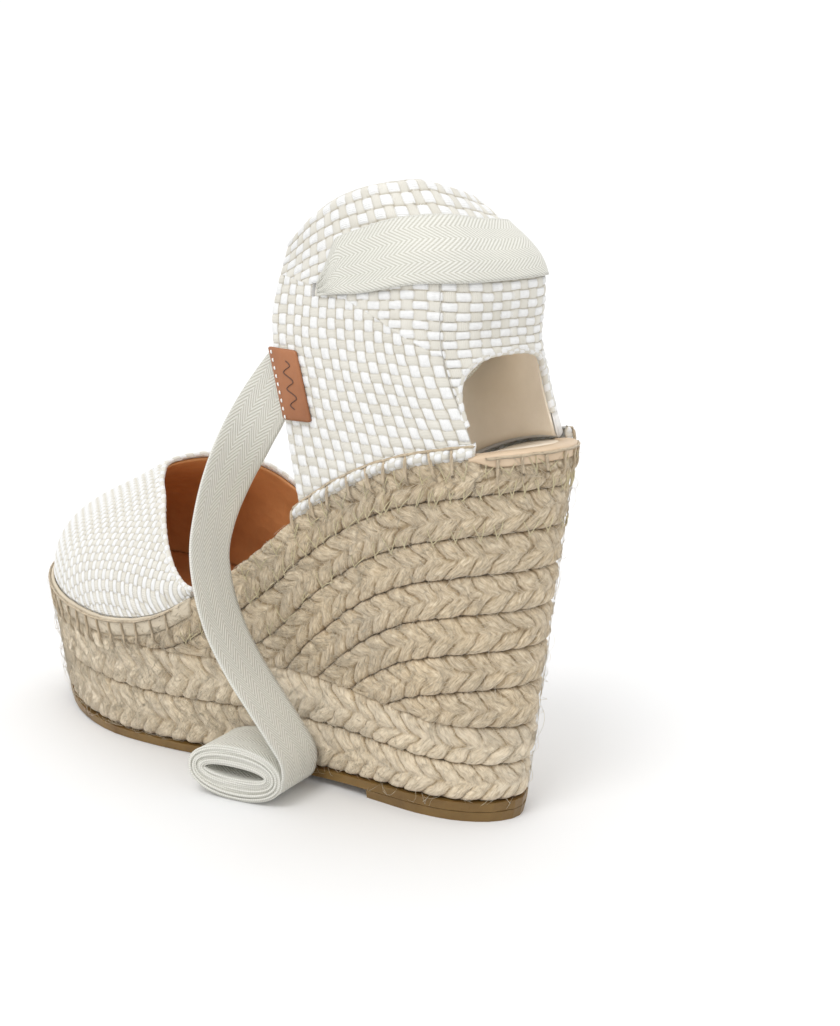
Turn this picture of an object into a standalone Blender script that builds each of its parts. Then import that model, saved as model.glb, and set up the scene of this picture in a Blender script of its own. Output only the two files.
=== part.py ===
"""Wedge sandal with braided jute platform, woven toe cap, ankle cuff and tape tie (left foot).

Lengths below are millimetres: x to the outer side of the foot, y from the toe tip
to the heel, z up from the ground.  put() moves them to the shared frame in metres.
"""
import math
import bpy
import bmesh
import numpy as np

MM = 0.001
X0, Y0 = 0.6, 112.6           # centre of the sole outline, moved to the frame origin
STATIONS = 72                 # stations round a full braid
BRAID_DEPTH = 5.5             # how far a braid reaches in from the wall
CORE_INSET = 6.3              # core and insole stay this far inside the wall
ROW_PITCH = 12.1              # height of one braid at the heel
RUBBER = 3.0                  # outsole sheet thickness
RAND_HIGH, RAND_THICK = 6.4, 1.5
STRIP_HIGH = 3.8              # leather strip at the heel
FABRIC, LINING = 1.3, 0.8     # upper cloth and its lining
TAPE_WIDE, TAPE_THICK = 20.0, 0.7
GAP = 0.15                    # play between parts that lie on each other

# top edge and ground outline of the wall: (y, lateral x) and (y, medial x)
TIP_T, HEEL_T = (-3.0, -3.0), (0.0, 228.3)
TOP_LAT = [(-1, 9), (4, 18), (12, 26), (28, 35.3), (50, 41.5), (70, 44), (90, 44), (110, 42),
           (130, 39), (150, 36.5), (170, 34.5), (190, 32.5), (210, 26), (222, 15)]
TOP_MED = [(0, 15), (5.5, 23.5), (13, 30), (30, 38), (50, 42), (70, 43), (90, 41), (110, 37),
           (130, 34), (150, 32), (170, 31), (190, 30.5), (210, 26), (222, 15)]
TIP_B, HEEL_B = (-4.0, 3.2), (0.0, 213.5)
LOW_LAT = [(5, 6), (10, 14), (18, 22), (33, 31), (50, 36.3), (65, 38), (80, 36.5),
           (95, 33.5), (115, 28), (135, 23.5), (155, 21), (175, 20), (190, 18.5),
           (203, 14), (211, 7)]
LOW_MED = [(5, 11.5), (10.5, 19), (18, 25), (33, 32), (50, 36), (65, 37), (80, 35),
           (95, 31), (115, 26), (135, 22), (155, 20), (175, 19.5), (190, 18.5),
           (203, 14), (211, 7)]
EDGE = [(-3, 50.5), (20, 46.5), (45, 44), (75, 45), (95, 50), (115, 61), (135, 75),
        (155, 91), (172, 101.5), (190, 109), (210, 113.5), (228.3, 116)]
PLATFORM = [(-3, 43.8), (20, 40), (45, 37.4), (60, 36.8), (90, 36.8), (160, 37.3),
            (190, 33.8), (210, 31.2), (228.3, 30)]
BASE = [(0, 10.5), (15, 7.0), (30, 4.7), (50, 3.35), (75, 3.12), (100, 3.3), (130, 4.3),
        (169, 6.0), (213.5, 6.4)]
RAND_END = (111.0, 103.0)     # where the toe rand stops, outer and inner side
STEP_Y = 169.0                # front of the heel lift
LIFT_DRAFT = 0.4              # the heel lift is this much smaller at the ground
CORE_TOP = 8.4                # depth of the wedge core below the top edge
INSOLE = [("insole_board", "cork", (6.6, 8.2)), ("insole_foam", "foam", (2.7, 6.4)),
          ("sock_lining", "brown_leather", (1.3, 2.5))]    # depths below the top edge
SLIT_LOW, SLIT_HIGH = (18, 156.6, 156.2), (38, 158.2, 172.0)   # tape slit in the cuff
ROLL_TILT = 0.62              # the inner roll lies on the sloping insole, radians

COLOURS = {
    "jute": (0.62, 0.48, 0.30, 1), "rubber": (0.22, 0.13, 0.05, 1),
    "cork": (0.45, 0.32, 0.20, 1), "tan_leather": (0.66, 0.43, 0.26, 1),
    "brown_leather": (0.25, 0.10, 0.04, 1), "woven": (0.86, 0.85, 0.80, 1),
    "beige_lining": (0.48, 0.38, 0.27, 1), "tape": (0.68, 0.67, 0.60, 1),
    "rand": (0.55, 0.47, 0.34, 1), "label": (0.45, 0.20, 0.09, 1),
    "thread": (0.62, 0.50, 0.33, 1), "foam": (0.70, 0.62, 0.50, 1),
}


def clear():
    for old in list(bpy.data.objects):
        bpy.data.objects.remove(old, do_unlink=True)


def collection(name):
    col = bpy.data.collections.new(name)
    bpy.context.scene.collection.children.link(col)
    return col


def material(slot):
    mat = bpy.data.materials.get(slot) or bpy.data.materials.new(slot)
    mat.use_nodes = True
    shader = mat.node_tree.nodes["Principled BSDF"]
    shader.inputs["Base Color"].default_value = COLOURS[slot]
    shader.inputs["Roughness"].default_value = 0.55 if slot == "rubber" else 0.85
    return mat


def put(name, verts, faces, slot, col):
    """One closed mesh object from millimetre vertices."""
    p = (np.asarray(verts, float) - (X0, Y0, 0.0)) * MM
    mesh = bpy.data.meshes.new(name)
    mesh.from_pydata([tuple(map(float, v)) for v in p], [], faces)
    bm = bmesh.new()
    bm.from_mesh(mesh)
    bmesh.ops.recalc_face_normals(bm, faces=bm.faces)
    bm.to_mesh(mesh)
    bm.free()
    for poly in mesh.polygons:
        poly.use_smooth = True
    mesh.materials.append(material(slot))
    ob = bpy.data.objects.new(name, mesh)
    col.objects.link(ob)
    return ob


# ---------------------------------------------------------------- curves

def hermite(p, s, m, t):
    t = np.clip(np.atleast_1d(np.asarray(t, float)), s[0], s[-1])
    i = np.clip(np.searchsorted(s, t, side="right") - 1, 0, len(s) - 2)
    h = (s[i + 1] - s[i])[:, None]
    u = ((t - s[i]) / (s[i + 1] - s[i]))[:, None]
    return ((2 * u ** 3 - 3 * u ** 2 + 1) * p[i] + (u ** 3 - 2 * u ** 2 + u) * h * m[i]
            + (3 * u ** 2 - 2 * u ** 3) * p[i + 1] + (u ** 3 - u ** 2) * h * m[i + 1])


def chord(p):
    d = np.linalg.norm(np.diff(p, axis=0), axis=1)
    return np.concatenate([[0.0], np.cumsum(d)]) / d.sum()


def spline(points, t):
    """Smooth curve through points, t from 0 to 1 along its length."""
    p = np.asarray(points, float)
    s = chord(p)
    return hermite(p, s, np.gradient(p, s, axis=0), t)


def table(pairs, y):
    """Smooth height read from (y, value) pairs."""
    p = np.asarray(pairs, float)
    v = p[:, 1:2]
    return hermite(v, p[:, 0], np.gradient(v, p[:, 0], axis=0), y)[:, 0]


def closed_outline(tip, lat, med, heel):
    """Closed curve: 0 at the toe tip, 0.5 at the heel, 1 back at the toe by the medial side."""
    a = np.array([tip] + [(x, y) for y, x in lat] + [heel], float)
    b = np.array([heel] + [(-x, y) for y, x in reversed(med)] + [tip], float)
    s = np.concatenate([chord(a) * 0.5, 0.5 + chord(b)[1:] * 0.5])
    p = np.concatenate([a, b[1:]])
    wrap_p = np.concatenate([p[-2:-1], p, p[1:2]])
    wrap_s = np.concatenate([[s[-2] - 1], s, [1 + s[1]]])
    m = np.gradient(wrap_p, wrap_s, axis=0)[1:-1]
    return lambda t: hermite(p, s, m, np.mod(np.atleast_1d(t), 1.0))


TOP = closed_outline(TIP_T, TOP_LAT, TOP_MED, HEEL_T)
LOW = closed_outline(TIP_B, LOW_LAT, LOW_MED, HEEL_B)


def edge_z(t):
    return table(EDGE, TOP(t)[:, 1])


def platform_z(t):
    return table(PLATFORM, TOP(t)[:, 1])


def base_z(t):
    return table(BASE, LOW(t)[:, 1])


def outward(t):
    d = TOP(t + 1e-3) - TOP(t - 1e-3)
    n = np.stack([d[:, 1], -d[:, 0]], axis=1)
    return n / np.linalg.norm(n, axis=1)[:, None]


def wall(t, z, inset=0.0):
    """Point of the drafted side wall at height z, moved in by inset."""
    t = np.atleast_1d(np.asarray(t, float))
    z = np.broadcast_to(np.asarray(z, float), t.shape)
    k = (z / edge_z(t))[:, None]
    xy = LOW(t) * (1 - k) + TOP(t) * k - outward(t) * np.reshape(inset, (-1, 1))
    return np.column_stack([xy, z])


def at_y(y, side):
    """Perimeter value where the top edge passes y, on side +1 lateral or -1 medial."""
    grid = np.linspace(0.002, 0.498, 800)
    if side < 0:
        grid = 1 - grid
    return float(grid[np.argmin(abs(TOP(grid)[:, 1] - y))])


def low_at_y(y, side):
    grid = np.linspace(0.002, 0.498, 800)
    if side < 0:
        grid = 1 - grid
    return float(grid[np.argmin(abs(LOW(grid)[:, 1] - y))])


def row_z(t, k):
    """Lower edge of fan row k: the top edge moved down square to its own slope."""
    h = 2e-3
    ds = np.linalg.norm(TOP(t + h) - TOP(t - h), axis=1)
    slope = np.clip((edge_z(t + h) - edge_z(t - h)) / ds, -0.9, 0.9)
    return edge_z(t) - k * ROW_PITCH * np.sqrt(1 + slope ** 2)


# ---------------------------------------------------------------- solids

def loft(name, rings, slot, col, ring_closed=False):
    """Solid through section loops; open lofts get end caps."""
    rings = np.asarray(rings, float)
    n, k = rings.shape[:2]
    faces = []
    for i in range(n if ring_closed else n - 1):
        a, b = i * k, ((i + 1) % n) * k
        faces += [(a + j, a + (j + 1) % k, b + (j + 1) % k, b + j) for j in range(k)]
    if not ring_closed:
        faces += [tuple(range(k))[::-1], tuple((n - 1) * k + j for j in range(k))]
    return put(name, rings.reshape(-1, 3), faces, slot, col)


def slab(name, top, bottom, slot, col):
    """Solid between two grids of points of the same size."""
    n, m = top.shape[:2]
    size = n * m
    verts = np.concatenate([top.reshape(-1, 3), bottom.reshape(-1, 3)])
    faces = []
    for i in range(n - 1):
        for j in range(m - 1):
            q = (i * m + j, i * m + j + 1, (i + 1) * m + j + 1, (i + 1) * m + j)
            faces += [q, tuple(size + v for v in reversed(q))]
    rim = [j for j in range(m)] + [i * m + m - 1 for i in range(1, n)]
    rim += [(n - 1) * m + j for j in range(m - 2, -1, -1)] + [i * m for i in range(n - 2, 0, -1)]
    faces += [(rim[a - 1], rim[a], size + rim[a], size + rim[a - 1]) for a in range(len(rim))]
    return put(name, verts, faces, slot, col)


def across(t, z, inset):
    """Grid across the sole: lateral edge, two inner lines, medial edge."""
    a, b = wall(t, z[0], inset), wall(1 - t, z[1], inset)
    return np.stack([a + (b - a) * k for k in (0.0, 0.3, 0.7, 1.0)], axis=1)


def plate(name, t, top, bottom, inset, slot, col):
    """Plate filling the outline between two heights; inset is given at its top and bottom."""
    return slab(name, across(t, (top(t), top(1 - t)), inset[0]),
                across(t, (bottom(t), bottom(1 - t)), inset[1]), slot, col)


def braid(name, t, top, bottom, col, shoulder=None):
    """One braid laid on the wall, bulged outwards; shoulder = (inset, height) of a cut-back top."""
    d = top - bottom
    r = np.minimum(1.3, d * 0.3)
    inset, lip = (r, top - 0.05) if shoulder is None else shoulder
    parts = [(top, BRAID_DEPTH), (top, inset), (lip, inset), (lip - 0.15, np.minimum(inset, r)),
             (bottom + 0.5 * (lip - bottom), 0.0 * r), (bottom, r), (bottom, BRAID_DEPTH)]
    return loft(name, np.stack([wall(t, z, np.broadcast_to(i, t.shape)) for z, i in parts], 1),
                "jute", col)


def normals(grid):
    a = np.gradient(grid, axis=0)
    b = np.gradient(grid, axis=1)
    n = np.cross(a, b)
    return n / np.maximum(np.linalg.norm(n, axis=2), 1e-9)[..., None]


# ---------------------------------------------------------------- sole

def stations(a, b):
    """Shared stations between a and b (b may pass 1), so neighbouring braids meet evenly."""
    grid = np.arange(0, 2 * STATIONS + 1) / STATIONS
    inner = grid[(grid > a + 0.004) & (grid < b - 0.004)]
    return np.concatenate([[a], inner, [b]])


def make_sole(col):
    t = np.linspace(0.004, 0.496, 34)
    plate("outsole", t, lambda v: base_z(v) - GAP, lambda v: base_z(v) - RUBBER, (0.0, 0.0),
          "rubber", col)
    back = np.linspace(low_at_y(STEP_Y, 1), 0.496, 14)
    plate("heel_lift", back, lambda v: base_z(v) - RUBBER - GAP, lambda v: 0.0 * v,
          (0.0, LIFT_DRAFT), "rubber", col)
    filling = stations(0.012, 0.488)
    inside = (CORE_INSET, CORE_INSET)
    plate("wedge_core", filling, lambda v: edge_z(v) - CORE_TOP, lambda v: base_z(v) + GAP,
          inside, "cork", col)
    for name, slot, (high, low) in INSOLE:
        plate(name, filling, lambda v, d=high: edge_z(v) - d, lambda v, d=low: edge_z(v) - d,
              inside, slot, col)


def make_platform(col):
    seam = at_y(118, -1)
    t = np.mod(stations(seam + 0.0008, seam + 0.9992), 1.0)
    low, high = base_z(t) + GAP, platform_z(t) - GAP
    mid = (low + high) / 2
    braid("platform_braid_1", t, mid - GAP, low, col)
    braid("platform_braid_2", t, high, mid + GAP, col)


def smoothstep(a, b, v):
    u = np.clip((v - a) / (b - a), 0, 1)
    return u * u * (3 - 2 * u)


def make_edge_braid(col):
    """Top braid, from under the rand on one side round the heel to the other side."""
    a, b = heel_span(21.5)
    r0, r1 = at_y(RAND_END[0], 1), at_y(RAND_END[1], -1)
    ends = [r0 + 0.001, r0 + 0.004, a - 0.004, a - 0.001, b + 0.001, b + 0.004,
            r1 - 0.004, r1 - 0.001]
    t = np.sort(np.concatenate([stations(at_y(58, 1), at_y(58, -1)), ends]))
    e = edge_z(t)
    under_rand = ((t < r0 + 0.002) | (t > r1 - 0.002)) * 1.0
    under_strip = ((t > a - 0.002) & (t < b + 0.002)) * 1.0
    top = e - GAP - under_rand * (RAND_HIGH + 0.1) - under_strip * 1.6
    lip = top - 0.05 - under_strip * (STRIP_HIGH - 1.2)
    bottom = np.maximum(row_z(t, 1), platform_z(t)) + GAP
    r = np.minimum(1.3, (top - bottom) * 0.3)
    braid("edge_braid", t, top, bottom, col, (r + under_strip * (1.9 - r), lip))


def make_fan(col):
    grid = np.linspace(0.1, 0.9, 1600)
    for k in range(1, 7):
        room = row_z(grid, k) - platform_z(grid)
        inside = grid[(room > 2.0) & (abs(grid - 0.5) < 0.42)]
        t = stations(inside[0], inside[-1])
        top = row_z(t, k) - GAP
        if k == 6:
            bottom = platform_z(t) + GAP
        else:
            bottom = np.maximum(row_z(t, k + 1), platform_z(t)) + GAP
        braid("fan_braid_%d" % k, t, top, bottom, col)


def make_rand(col):
    t = np.mod(stations(at_y(RAND_END[1], -1), 1 + at_y(RAND_END[0], 1)), 1.0)
    e = edge_z(t)
    parts = [(e - 0.1, RAND_THICK), (e - 0.1, 0.5), (e - 0.9, 0.0), (e - RAND_HIGH + 0.8, 0.0),
             (e - RAND_HIGH, 0.5), (e - RAND_HIGH, RAND_THICK)]
    loft("toe_rand", np.stack([wall(t, z, np.full(t.shape, i)) for z, i in parts], 1),
         "rand", col)


def heel_span(half):
    grid = np.linspace(0.4, 0.5, 600)
    a = float(grid[np.argmin(abs(TOP(grid)[:, 0] - half))])
    return a, 1 - a


def make_heel_strip(col):
    a, b = heel_span(21.5)
    t = stations(a, b)
    e = edge_z(t)
    parts = [(e, BRAID_DEPTH), (e, 0.6), (e - 0.6, 0.0), (e - STRIP_HIGH, 0.0),
             (e - STRIP_HIGH, 1.4), (e - 1.4, 1.4), (e - 1.4, BRAID_DEPTH)]
    loft("heel_strip", np.stack([wall(t, z, np.full(t.shape, i)) for z, i in parts], 1),
         "tan_leather", col)


# ---------------------------------------------------------------- toe cap

THROAT = [(42.4, 112.5, 60.6), (40, 105, 61.8), (36.5, 96, 65), (32.5, 88, 70.5), (27, 80, 76.5),
          (20, 71.5, 82.5), (11, 60, 88), (3, 54, 91), (-6, 56.5, 92.8), (-16, 64, 92.8),
          (-26, 73, 89.5), (-34.5, 82.5, 81), (-38.5, 92.5, 70), (-39.5, 104, 59.5)]


def toe_surface():
    """Outer face of the toe cap: from the margin behind the rand up to the throat edge."""
    n = 40
    w = np.linspace(0, 1, n)
    t = np.mod(np.linspace(at_y(RAND_END[0] - 0.5, 1) + 1, at_y(RAND_END[1] - 0.5, -1), n), 1.0)
    throat = spline(THROAT, w)
    e = edge_z(t)
    foot, margin = wall(t, e, np.full(n, 2.15)), wall(t, e - 5.2, np.full(n, 2.15))
    end = throat.copy()
    end[:, 2] = np.maximum(end[:, 2], e + 1.6)
    flat = end[:, :2] - foot[:, :2]
    reach = np.linalg.norm(flat, axis=1)[:, None]
    rise = (end[:, 2] - foot[:, 2])[:, None]
    c1 = foot + np.array([0, 0, 1.0]) * rise * 0.56
    c2 = end - np.column_stack([flat * 0.52, reach[:, 0] * 0.3])
    rows = [margin, foot - (0, 0, 1.4)]
    for u in np.linspace(0, 1, 10):
        rows.append((1 - u) ** 3 * foot + 3 * u * (1 - u) ** 2 * c1
                    + 3 * u * u * (1 - u) * c2 + u ** 3 * end)
    return np.stack(rows, axis=1)


def make_toe_cap(col):
    s = toe_surface()
    n = normals(s)
    if n[20, 6, 2] < 0:
        n = -n
    slab("toe_cap_outer", s, s - n * FABRIC, "woven", col)
    first = s - n * (FABRIC + 0.25)
    slab("toe_cap_lining", first[1:-1], (first - n * LINING)[1:-1], "brown_leather", col)


# ---------------------------------------------------------------- ankle cuff

def cuff_half():
    """Four level curves of the lateral half, front edge to the back centre line."""
    return [
        [(33.9, 154.5, 0), (33.1, 170, 0), (31.0, 188, 0), (25.4, 206, 0), (15.5, 217.5, 0),
         (0, 223.5, 0)],
        [(31.5, 141.5, 141), (31.5, 160, 142), (30.5, 180, 142.5), (27, 196, 142.5),
         (17, 206, 142.5), (0, 208.8, 142.5)],
        [(28.5, 140, 157), (28.2, 156, 162.5), (27.5, 176, 168), (25.3, 193, 169.5),
         (17.5, 202.3, 169), (0, 205, 168)],
        [(26.3, 144, 172), (25.5, 152, 179.3), (24, 162, 185.3), (20, 174.5, 189.2),
         (11.5, 183, 190.4), (0, 186.5, 187.8)],
    ]


MEDIAL_TRIM = (0.10, 0.06, 0.03, 0.0)   # the sole is narrower on the inner side
# how much lower the rim is on the inner side, from its front edge (0) to the back (1)
RIM_DROP = [(0, 0), (0.2, 1.5), (0.4, 3.5), (0.6, 5.4), (0.8, 4.8), (1, 0)]


def cuff_point(u, v):
    """Cuff surface: u 0 lateral front, 0.5 back, 1 medial front; v 0 sole edge, 1 rim."""
    side = 1.0 if u <= 0.5 else -1.0
    w = 2 * u if u <= 0.5 else 2 * (1 - u)
    pts = []
    for i, level in enumerate(cuff_half()):
        p = spline(level, w)[0]
        if i == 0:
            p[2] = table(EDGE, [p[1] + 2.4])[0] + 0.45
        if side < 0:
            p[0] *= -1 + MEDIAL_TRIM[i] * float(smoothstep(0, 0.5, 1 - w))
            p[2] -= table(RIM_DROP, [w])[0] * (i == 3)
        pts.append(p)
    pts = np.array(pts)
    knots = np.array([0.0, 0.42, 0.78, 1.0])
    return hermite(pts, knots, np.gradient(pts, knots, axis=0), v)[0]


def cuff_normal(u, v):
    """Outward unit normal of the cuff surface."""
    e = 3e-3
    v = min(max(v, e), 1 - e)
    u = min(max(u, e), 1 - e)
    n = np.cross(cuff_point(u + e, v) - cuff_point(u - e, v),
                 cuff_point(u, v + e) - cuff_point(u, v - e))
    n /= np.linalg.norm(n)
    return n


CUT_HALF, CUT_TOP = 0.142, 0.40       # heel opening in cuff coordinates


def cuff_grid(rows, lift, margin=0.0, squeeze=1.0):
    """Cuff surface moved out by lift, on stations that leave the arched heel opening."""
    front = margin * 0.25
    side = [(u, 0.0) for u in np.linspace(front, 0.5 - CUT_HALF * squeeze, 13)]
    arch = []
    for a in np.linspace(-80, 80, 15):
        s, c = math.sin(math.radians(a)), math.cos(math.radians(a))
        arch.append((0.5 + math.copysign(abs(s) ** 0.75, s) * CUT_HALF * 0.985 * squeeze,
                     CUT_TOP * squeeze * c ** 0.55))
    line = side + arch + [(1 - u, v) for u, v in reversed(side)]
    v = np.linspace(margin, 1 - margin, rows)
    return np.array([[cuff_point(u, v0 + (1 - v0) * k) + cuff_normal(u, v0 + (1 - v0) * k) * lift
                      for k in v] for u, v0 in line])


def make_cuff(col, cutters):
    outer = slab("cuff_outer", cuff_grid(10, 0.0), cuff_grid(10, -FABRIC), "woven", col)
    first = FABRIC + 0.45
    inner = slab("cuff_lining", cuff_grid(10, -first, 0.015, 1.02),
                 cuff_grid(10, -first - LINING, 0.015, 1.02), "beige_lining", col)
    for name, side in (("slot_lateral", 1), ("slot_medial", -1)):
        lo, hi = SLIT_LOW, SLIT_HIGH
        box = np.array([[(x, y, z) for y, z in ((lo[1], lo[2]), (hi[1], lo[2]),
                                                (hi[1], hi[2]), (lo[1], hi[2]))]
                        for x in (side * lo[0], side * hi[0])])
        cut = loft(name, box, "woven", cutters)
        cut.hide_render = True
        cut.display_type = "WIRE"
        for ob in (outer, inner):
            mod = ob.modifiers.new(name, "BOOLEAN")
            mod.operation, mod.solver, mod.object = "DIFFERENCE", "EXACT", cut


# ---------------------------------------------------------------- tape

def tape(name, left, right, face, col):
    """Strip between two edge curves, thickened along face."""
    a = np.stack([left, right], axis=1)
    off = face[:, None, :] * TAPE_THICK / 2
    slab(name, a + off, a - off, "tape", col)


def tape_normals(left, right):
    mid = (left + right) / 2
    d = np.gradient(mid, axis=0)
    n = np.cross(d, left - right)
    return n / np.linalg.norm(n, axis=1)[:, None]


TAPE_BAND = [(0.10, 0.68, 0.872), (0.2, 0.647, 0.868), (0.33, 0.68, 0.885), (0.5, 0.70, 0.895)]


def make_tape_back(col):
    """Tape round the outside of the cuff, from slot to slot."""
    us = np.linspace(0.05, 0.25, 400)
    start = us[np.argmin([abs(cuff_point(u, 0.78)[1] - 159.2) for u in us])]
    near, far = [], []
    for u in np.linspace(start, 1 - start, 44):
        k = [min(u, 1 - u)]
        low = table([(a, b) for a, b, _ in TAPE_BAND], k)[0]
        high = table([(a, c) for a, _, c in TAPE_BAND], k)[0]
        for lift, grid in ((1.35, far), (1.35 - TAPE_THICK, near)):
            grid.append([cuff_point(u, v) + cuff_normal(u, v) * lift
                         for v in np.linspace(high, low, 5)])
    slab("ribbon_back", np.array(far), np.array(near), "tape", col)


def make_tape_fall(col):
    """Tape from inside the lateral slot, out past the front edge and down to its roll."""
    mid = [(22.9, 158.5, 161.5), (23.4, 153, 155), (25.2, 147, 143), (28.3, 141, 130),
           (33, 134.5, 117), (39, 130, 103), (45, 129, 89), (49, 130.5, 78),
           (50, 132.8, 68.5), (48.6, 136, 56), (45.5, 141.8, 42.5), (43.2, 148.4, 32),
           (41, 153.4, 22.5)]
    wide = [(-0.2, 0.25, 1), (-0.2, 0.3, 1), (-0.12, 0.1, 1), (0, -0.34, 0.94), (0.35, -0.25, 0.9),
            (0.72, 0.0, 0.62), (0.9, 0.15, 0.4), (0.95, 0.22, 0.18), (0.967, 0.254, 0.05)]
    wide += [(0.967, 0.254, 0)] * 4
    w = np.array(wide, float)
    w /= np.linalg.norm(w, axis=1)[:, None]
    half = np.full(len(w), TAPE_WIDE / 2)
    half[:2] = 7.5, 9.0
    m = np.array(mid, float)
    t = np.linspace(0, 1, 42)
    left, right = spline(m + w * half[:, None], t), spline(m - w * half[:, None], t)
    tape("ribbon_lateral_fall", left, right, tape_normals(left, right), col)


def oval(centre, axis, long_dir, up, outer, inner, n=40):
    """Flattened ring of wound tape: section rings round the oval."""
    a = np.linspace(0, 2 * math.pi, n, endpoint=False)
    rings = []
    for ang in a:
        c, s = math.cos(ang), math.sin(ang)
        row = []
        for (ra, rb), side in ((outer, 1), (outer, -1), (inner, -1), (inner, 1)):
            p = np.sign(c) * abs(c) ** 0.9 * ra * long_dir + np.sign(s) * abs(s) ** 0.9 * rb * up
            row.append(centre + p + axis * side * TAPE_WIDE / 2)
        rings.append(row)
    return rings


def make_rolls(col):
    axis = np.array((0.967, 0.254, 0.0))
    long_dir = np.array((-0.254, 0.967, 0.0))
    ring = oval(np.array((40.4, 138.2, 9.0)), axis, long_dir, np.array((0, 0, 1.0)),
                (17.6, 8.9), (10.5, 1.3))
    loft("ribbon_lateral_roll", ring, "tape", col, ring_closed=True)
    lie = np.array((0.0, math.cos(ROLL_TILT), math.sin(ROLL_TILT)))
    up = np.array((0.0, -math.sin(ROLL_TILT), math.cos(ROLL_TILT)))
    ring = oval(np.array((9.0, 167.2, 107.4)), np.array((1.0, 0, 0)), lie, up,
                (14.0, 7.4), (7.5, 1.1), 32)
    loft("ribbon_medial_roll", ring, "tape", col, ring_closed=True)


def make_tape_inside(col):
    """Medial end: in through its slot, a loose loop, then down to the roll on the insole."""
    mid = [(-22.6, 162.5, 161.5), (-22.4, 169, 157), (-22.2, 174, 148), (-22.5, 175, 139),
           (-19.5, 172, 130), (-14.5, 167, 122.5), (-8, 161.5, 117.5), (-2.2, 157.5, 114.5)]
    wide = [(0, -0.1, 1), (0.0, 0.5, 1), (0.05, 1, 0.5), (0.2, 1, 0.15), (0.5, 0.9, 0.1),
            (0.62, 0.8, 0.3), (0.8, 0.6, 0.4), (0.9, 0.5, 0.35)]
    w = np.array(wide, float)
    w /= np.linalg.norm(w, axis=1)[:, None]
    half = np.full(len(w), TAPE_WIDE / 2)
    half[:2] = 7.0, 8.0
    half[-2:] = 9.0, 7.5
    m = np.array(mid, float)
    t = np.linspace(0, 1, 28)
    left, right = spline(m + w * half[:, None], t), spline(m - w * half[:, None], t)
    tape("ribbon_medial_fall", left, right, tape_normals(left, right), col)


# ---------------------------------------------------------------- small parts

def comb(name, run, legs, n_legs, slot, col, size=0.85):
    """Blanket stitch as one body: a running thread with legs hanging from it.

    run(t) gives the thread centre; legs(t) gives the leg centres below it, outer side first.
    """
    n = n_legs * 2 + 1
    t = np.linspace(0, 1, n + 1)
    centre, out = run(t)
    h = size / 2
    up = np.array((0, 0, h))
    section = np.stack([centre + out * h + up, centre + out * h - up,
                        centre - out * h - up, centre - out * h + up], axis=1)
    verts = [tuple(v) for ring in section for v in ring]
    faces = [(0, 1, 2, 3), tuple(4 * n + j for j in (3, 2, 1, 0))]
    for i in range(n):
        a, b = 4 * i, 4 * (i + 1)
        for j in range(4):
            q = (a + j, a + (j + 1) % 4, b + (j + 1) % 4, b + j)
            if j == 1 and i % 2 == 1:
                q = leg(verts, faces, q, t[i], t[i + 1], legs, h, size)
            faces.append(q)
    return put(name, verts, faces, slot, col)


def leg(verts, faces, quad, t0, t1, legs, h, size):
    """Extrude one bottom face of the thread down the leg path; returns its end cap."""
    path, out, along = legs((t0 + t1) / 2)
    last = quad
    for p in path:
        new = len(verts)
        o, s = out * h, along * size / 2
        verts.extend([tuple(p + o - s), tuple(p - o - s), tuple(p - o + s), tuple(p + o + s)])
        ring = (new, new + 1, new + 2, new + 3)
        faces.extend([(last[j], last[(j + 1) % 4], ring[(j + 1) % 4], ring[j])
                      for j in range(4)])
        last = ring
    return last


def frame_at(t):
    o = outward(np.atleast_1d(t))
    o = np.column_stack([o, np.zeros(len(o))])
    d = TOP(np.atleast_1d(t) + 1e-3) - TOP(np.atleast_1d(t) - 1e-3)
    d = np.column_stack([d / np.linalg.norm(d, axis=1)[:, None], np.zeros(len(d))])
    return o, d


def stitch_row(name, a, b, n_legs, col, run_drop, run_inset, drops):
    """Blanket stitch along the sole edge from a to b (perimeter values)."""
    def place(u):
        return np.mod(a + (b - a) * np.atleast_1d(u), 1.0)

    def run(u):
        t = place(u)
        return wall(t, edge_z(t), np.full(t.shape, run_inset)) - (0, 0, run_drop), frame_at(t)[0]

    def legs(u):
        t = place(u)
        o, d = frame_at(t)
        path = [wall(t, edge_z(t) - z, np.full(1, i))[0] for z, i in drops]
        return path, o[0], d[0]

    comb(name, run, legs, n_legs, "thread", col)


def make_stitches(col):
    stitch_row("toe_stitching", at_y(96, -1), 1 + at_y(100, 1), 30, col, 1.0, -0.5,
               [(2.2, -0.5), (RAND_HIGH, -0.5), (RAND_HIGH + 3.6, -0.5)])
    stitch_row("heel_strip_stitching", *heel_span(20.5), 6, col, 0.8, -0.5,
               [(2.0, -0.5), (STRIP_HIGH + 3.4, -0.5)])
    back = heel_span(23.5)
    stitch_row("lateral_quarter_stitching", at_y(158, 1), back[0], 9, col, -2.6, 0.6,
               [(-1.2, 0.4), (-0.3, -0.55), (5.0, -0.5)])
    stitch_row("medial_quarter_stitching", back[1], at_y(158, -1), 9, col, -2.6, 0.6,
               [(-1.2, 0.4), (-0.3, -0.55), (5.0, -0.5)])


LABEL = [(32.4, 140.4, 140.6), (32.4, 153.0, 140.2), (33.7, 160.6, 119.5), (33.7, 148.2, 119.2)]


def make_label(col):
    """Blank leather tab lying along the lateral front edge of the cuff."""
    a, b, c, d = np.array(LABEL)
    g = np.array([[(a + (b - a) * w) * (1 - v) + (d + (c - d) * w) * v
                   for v in np.linspace(0, 1, 4)] for w in np.linspace(0, 1, 3)])
    out = np.array((0.995, 0.0, 0.06))
    slab("side_label", g + out * 1.1, g, "label", col)


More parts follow.
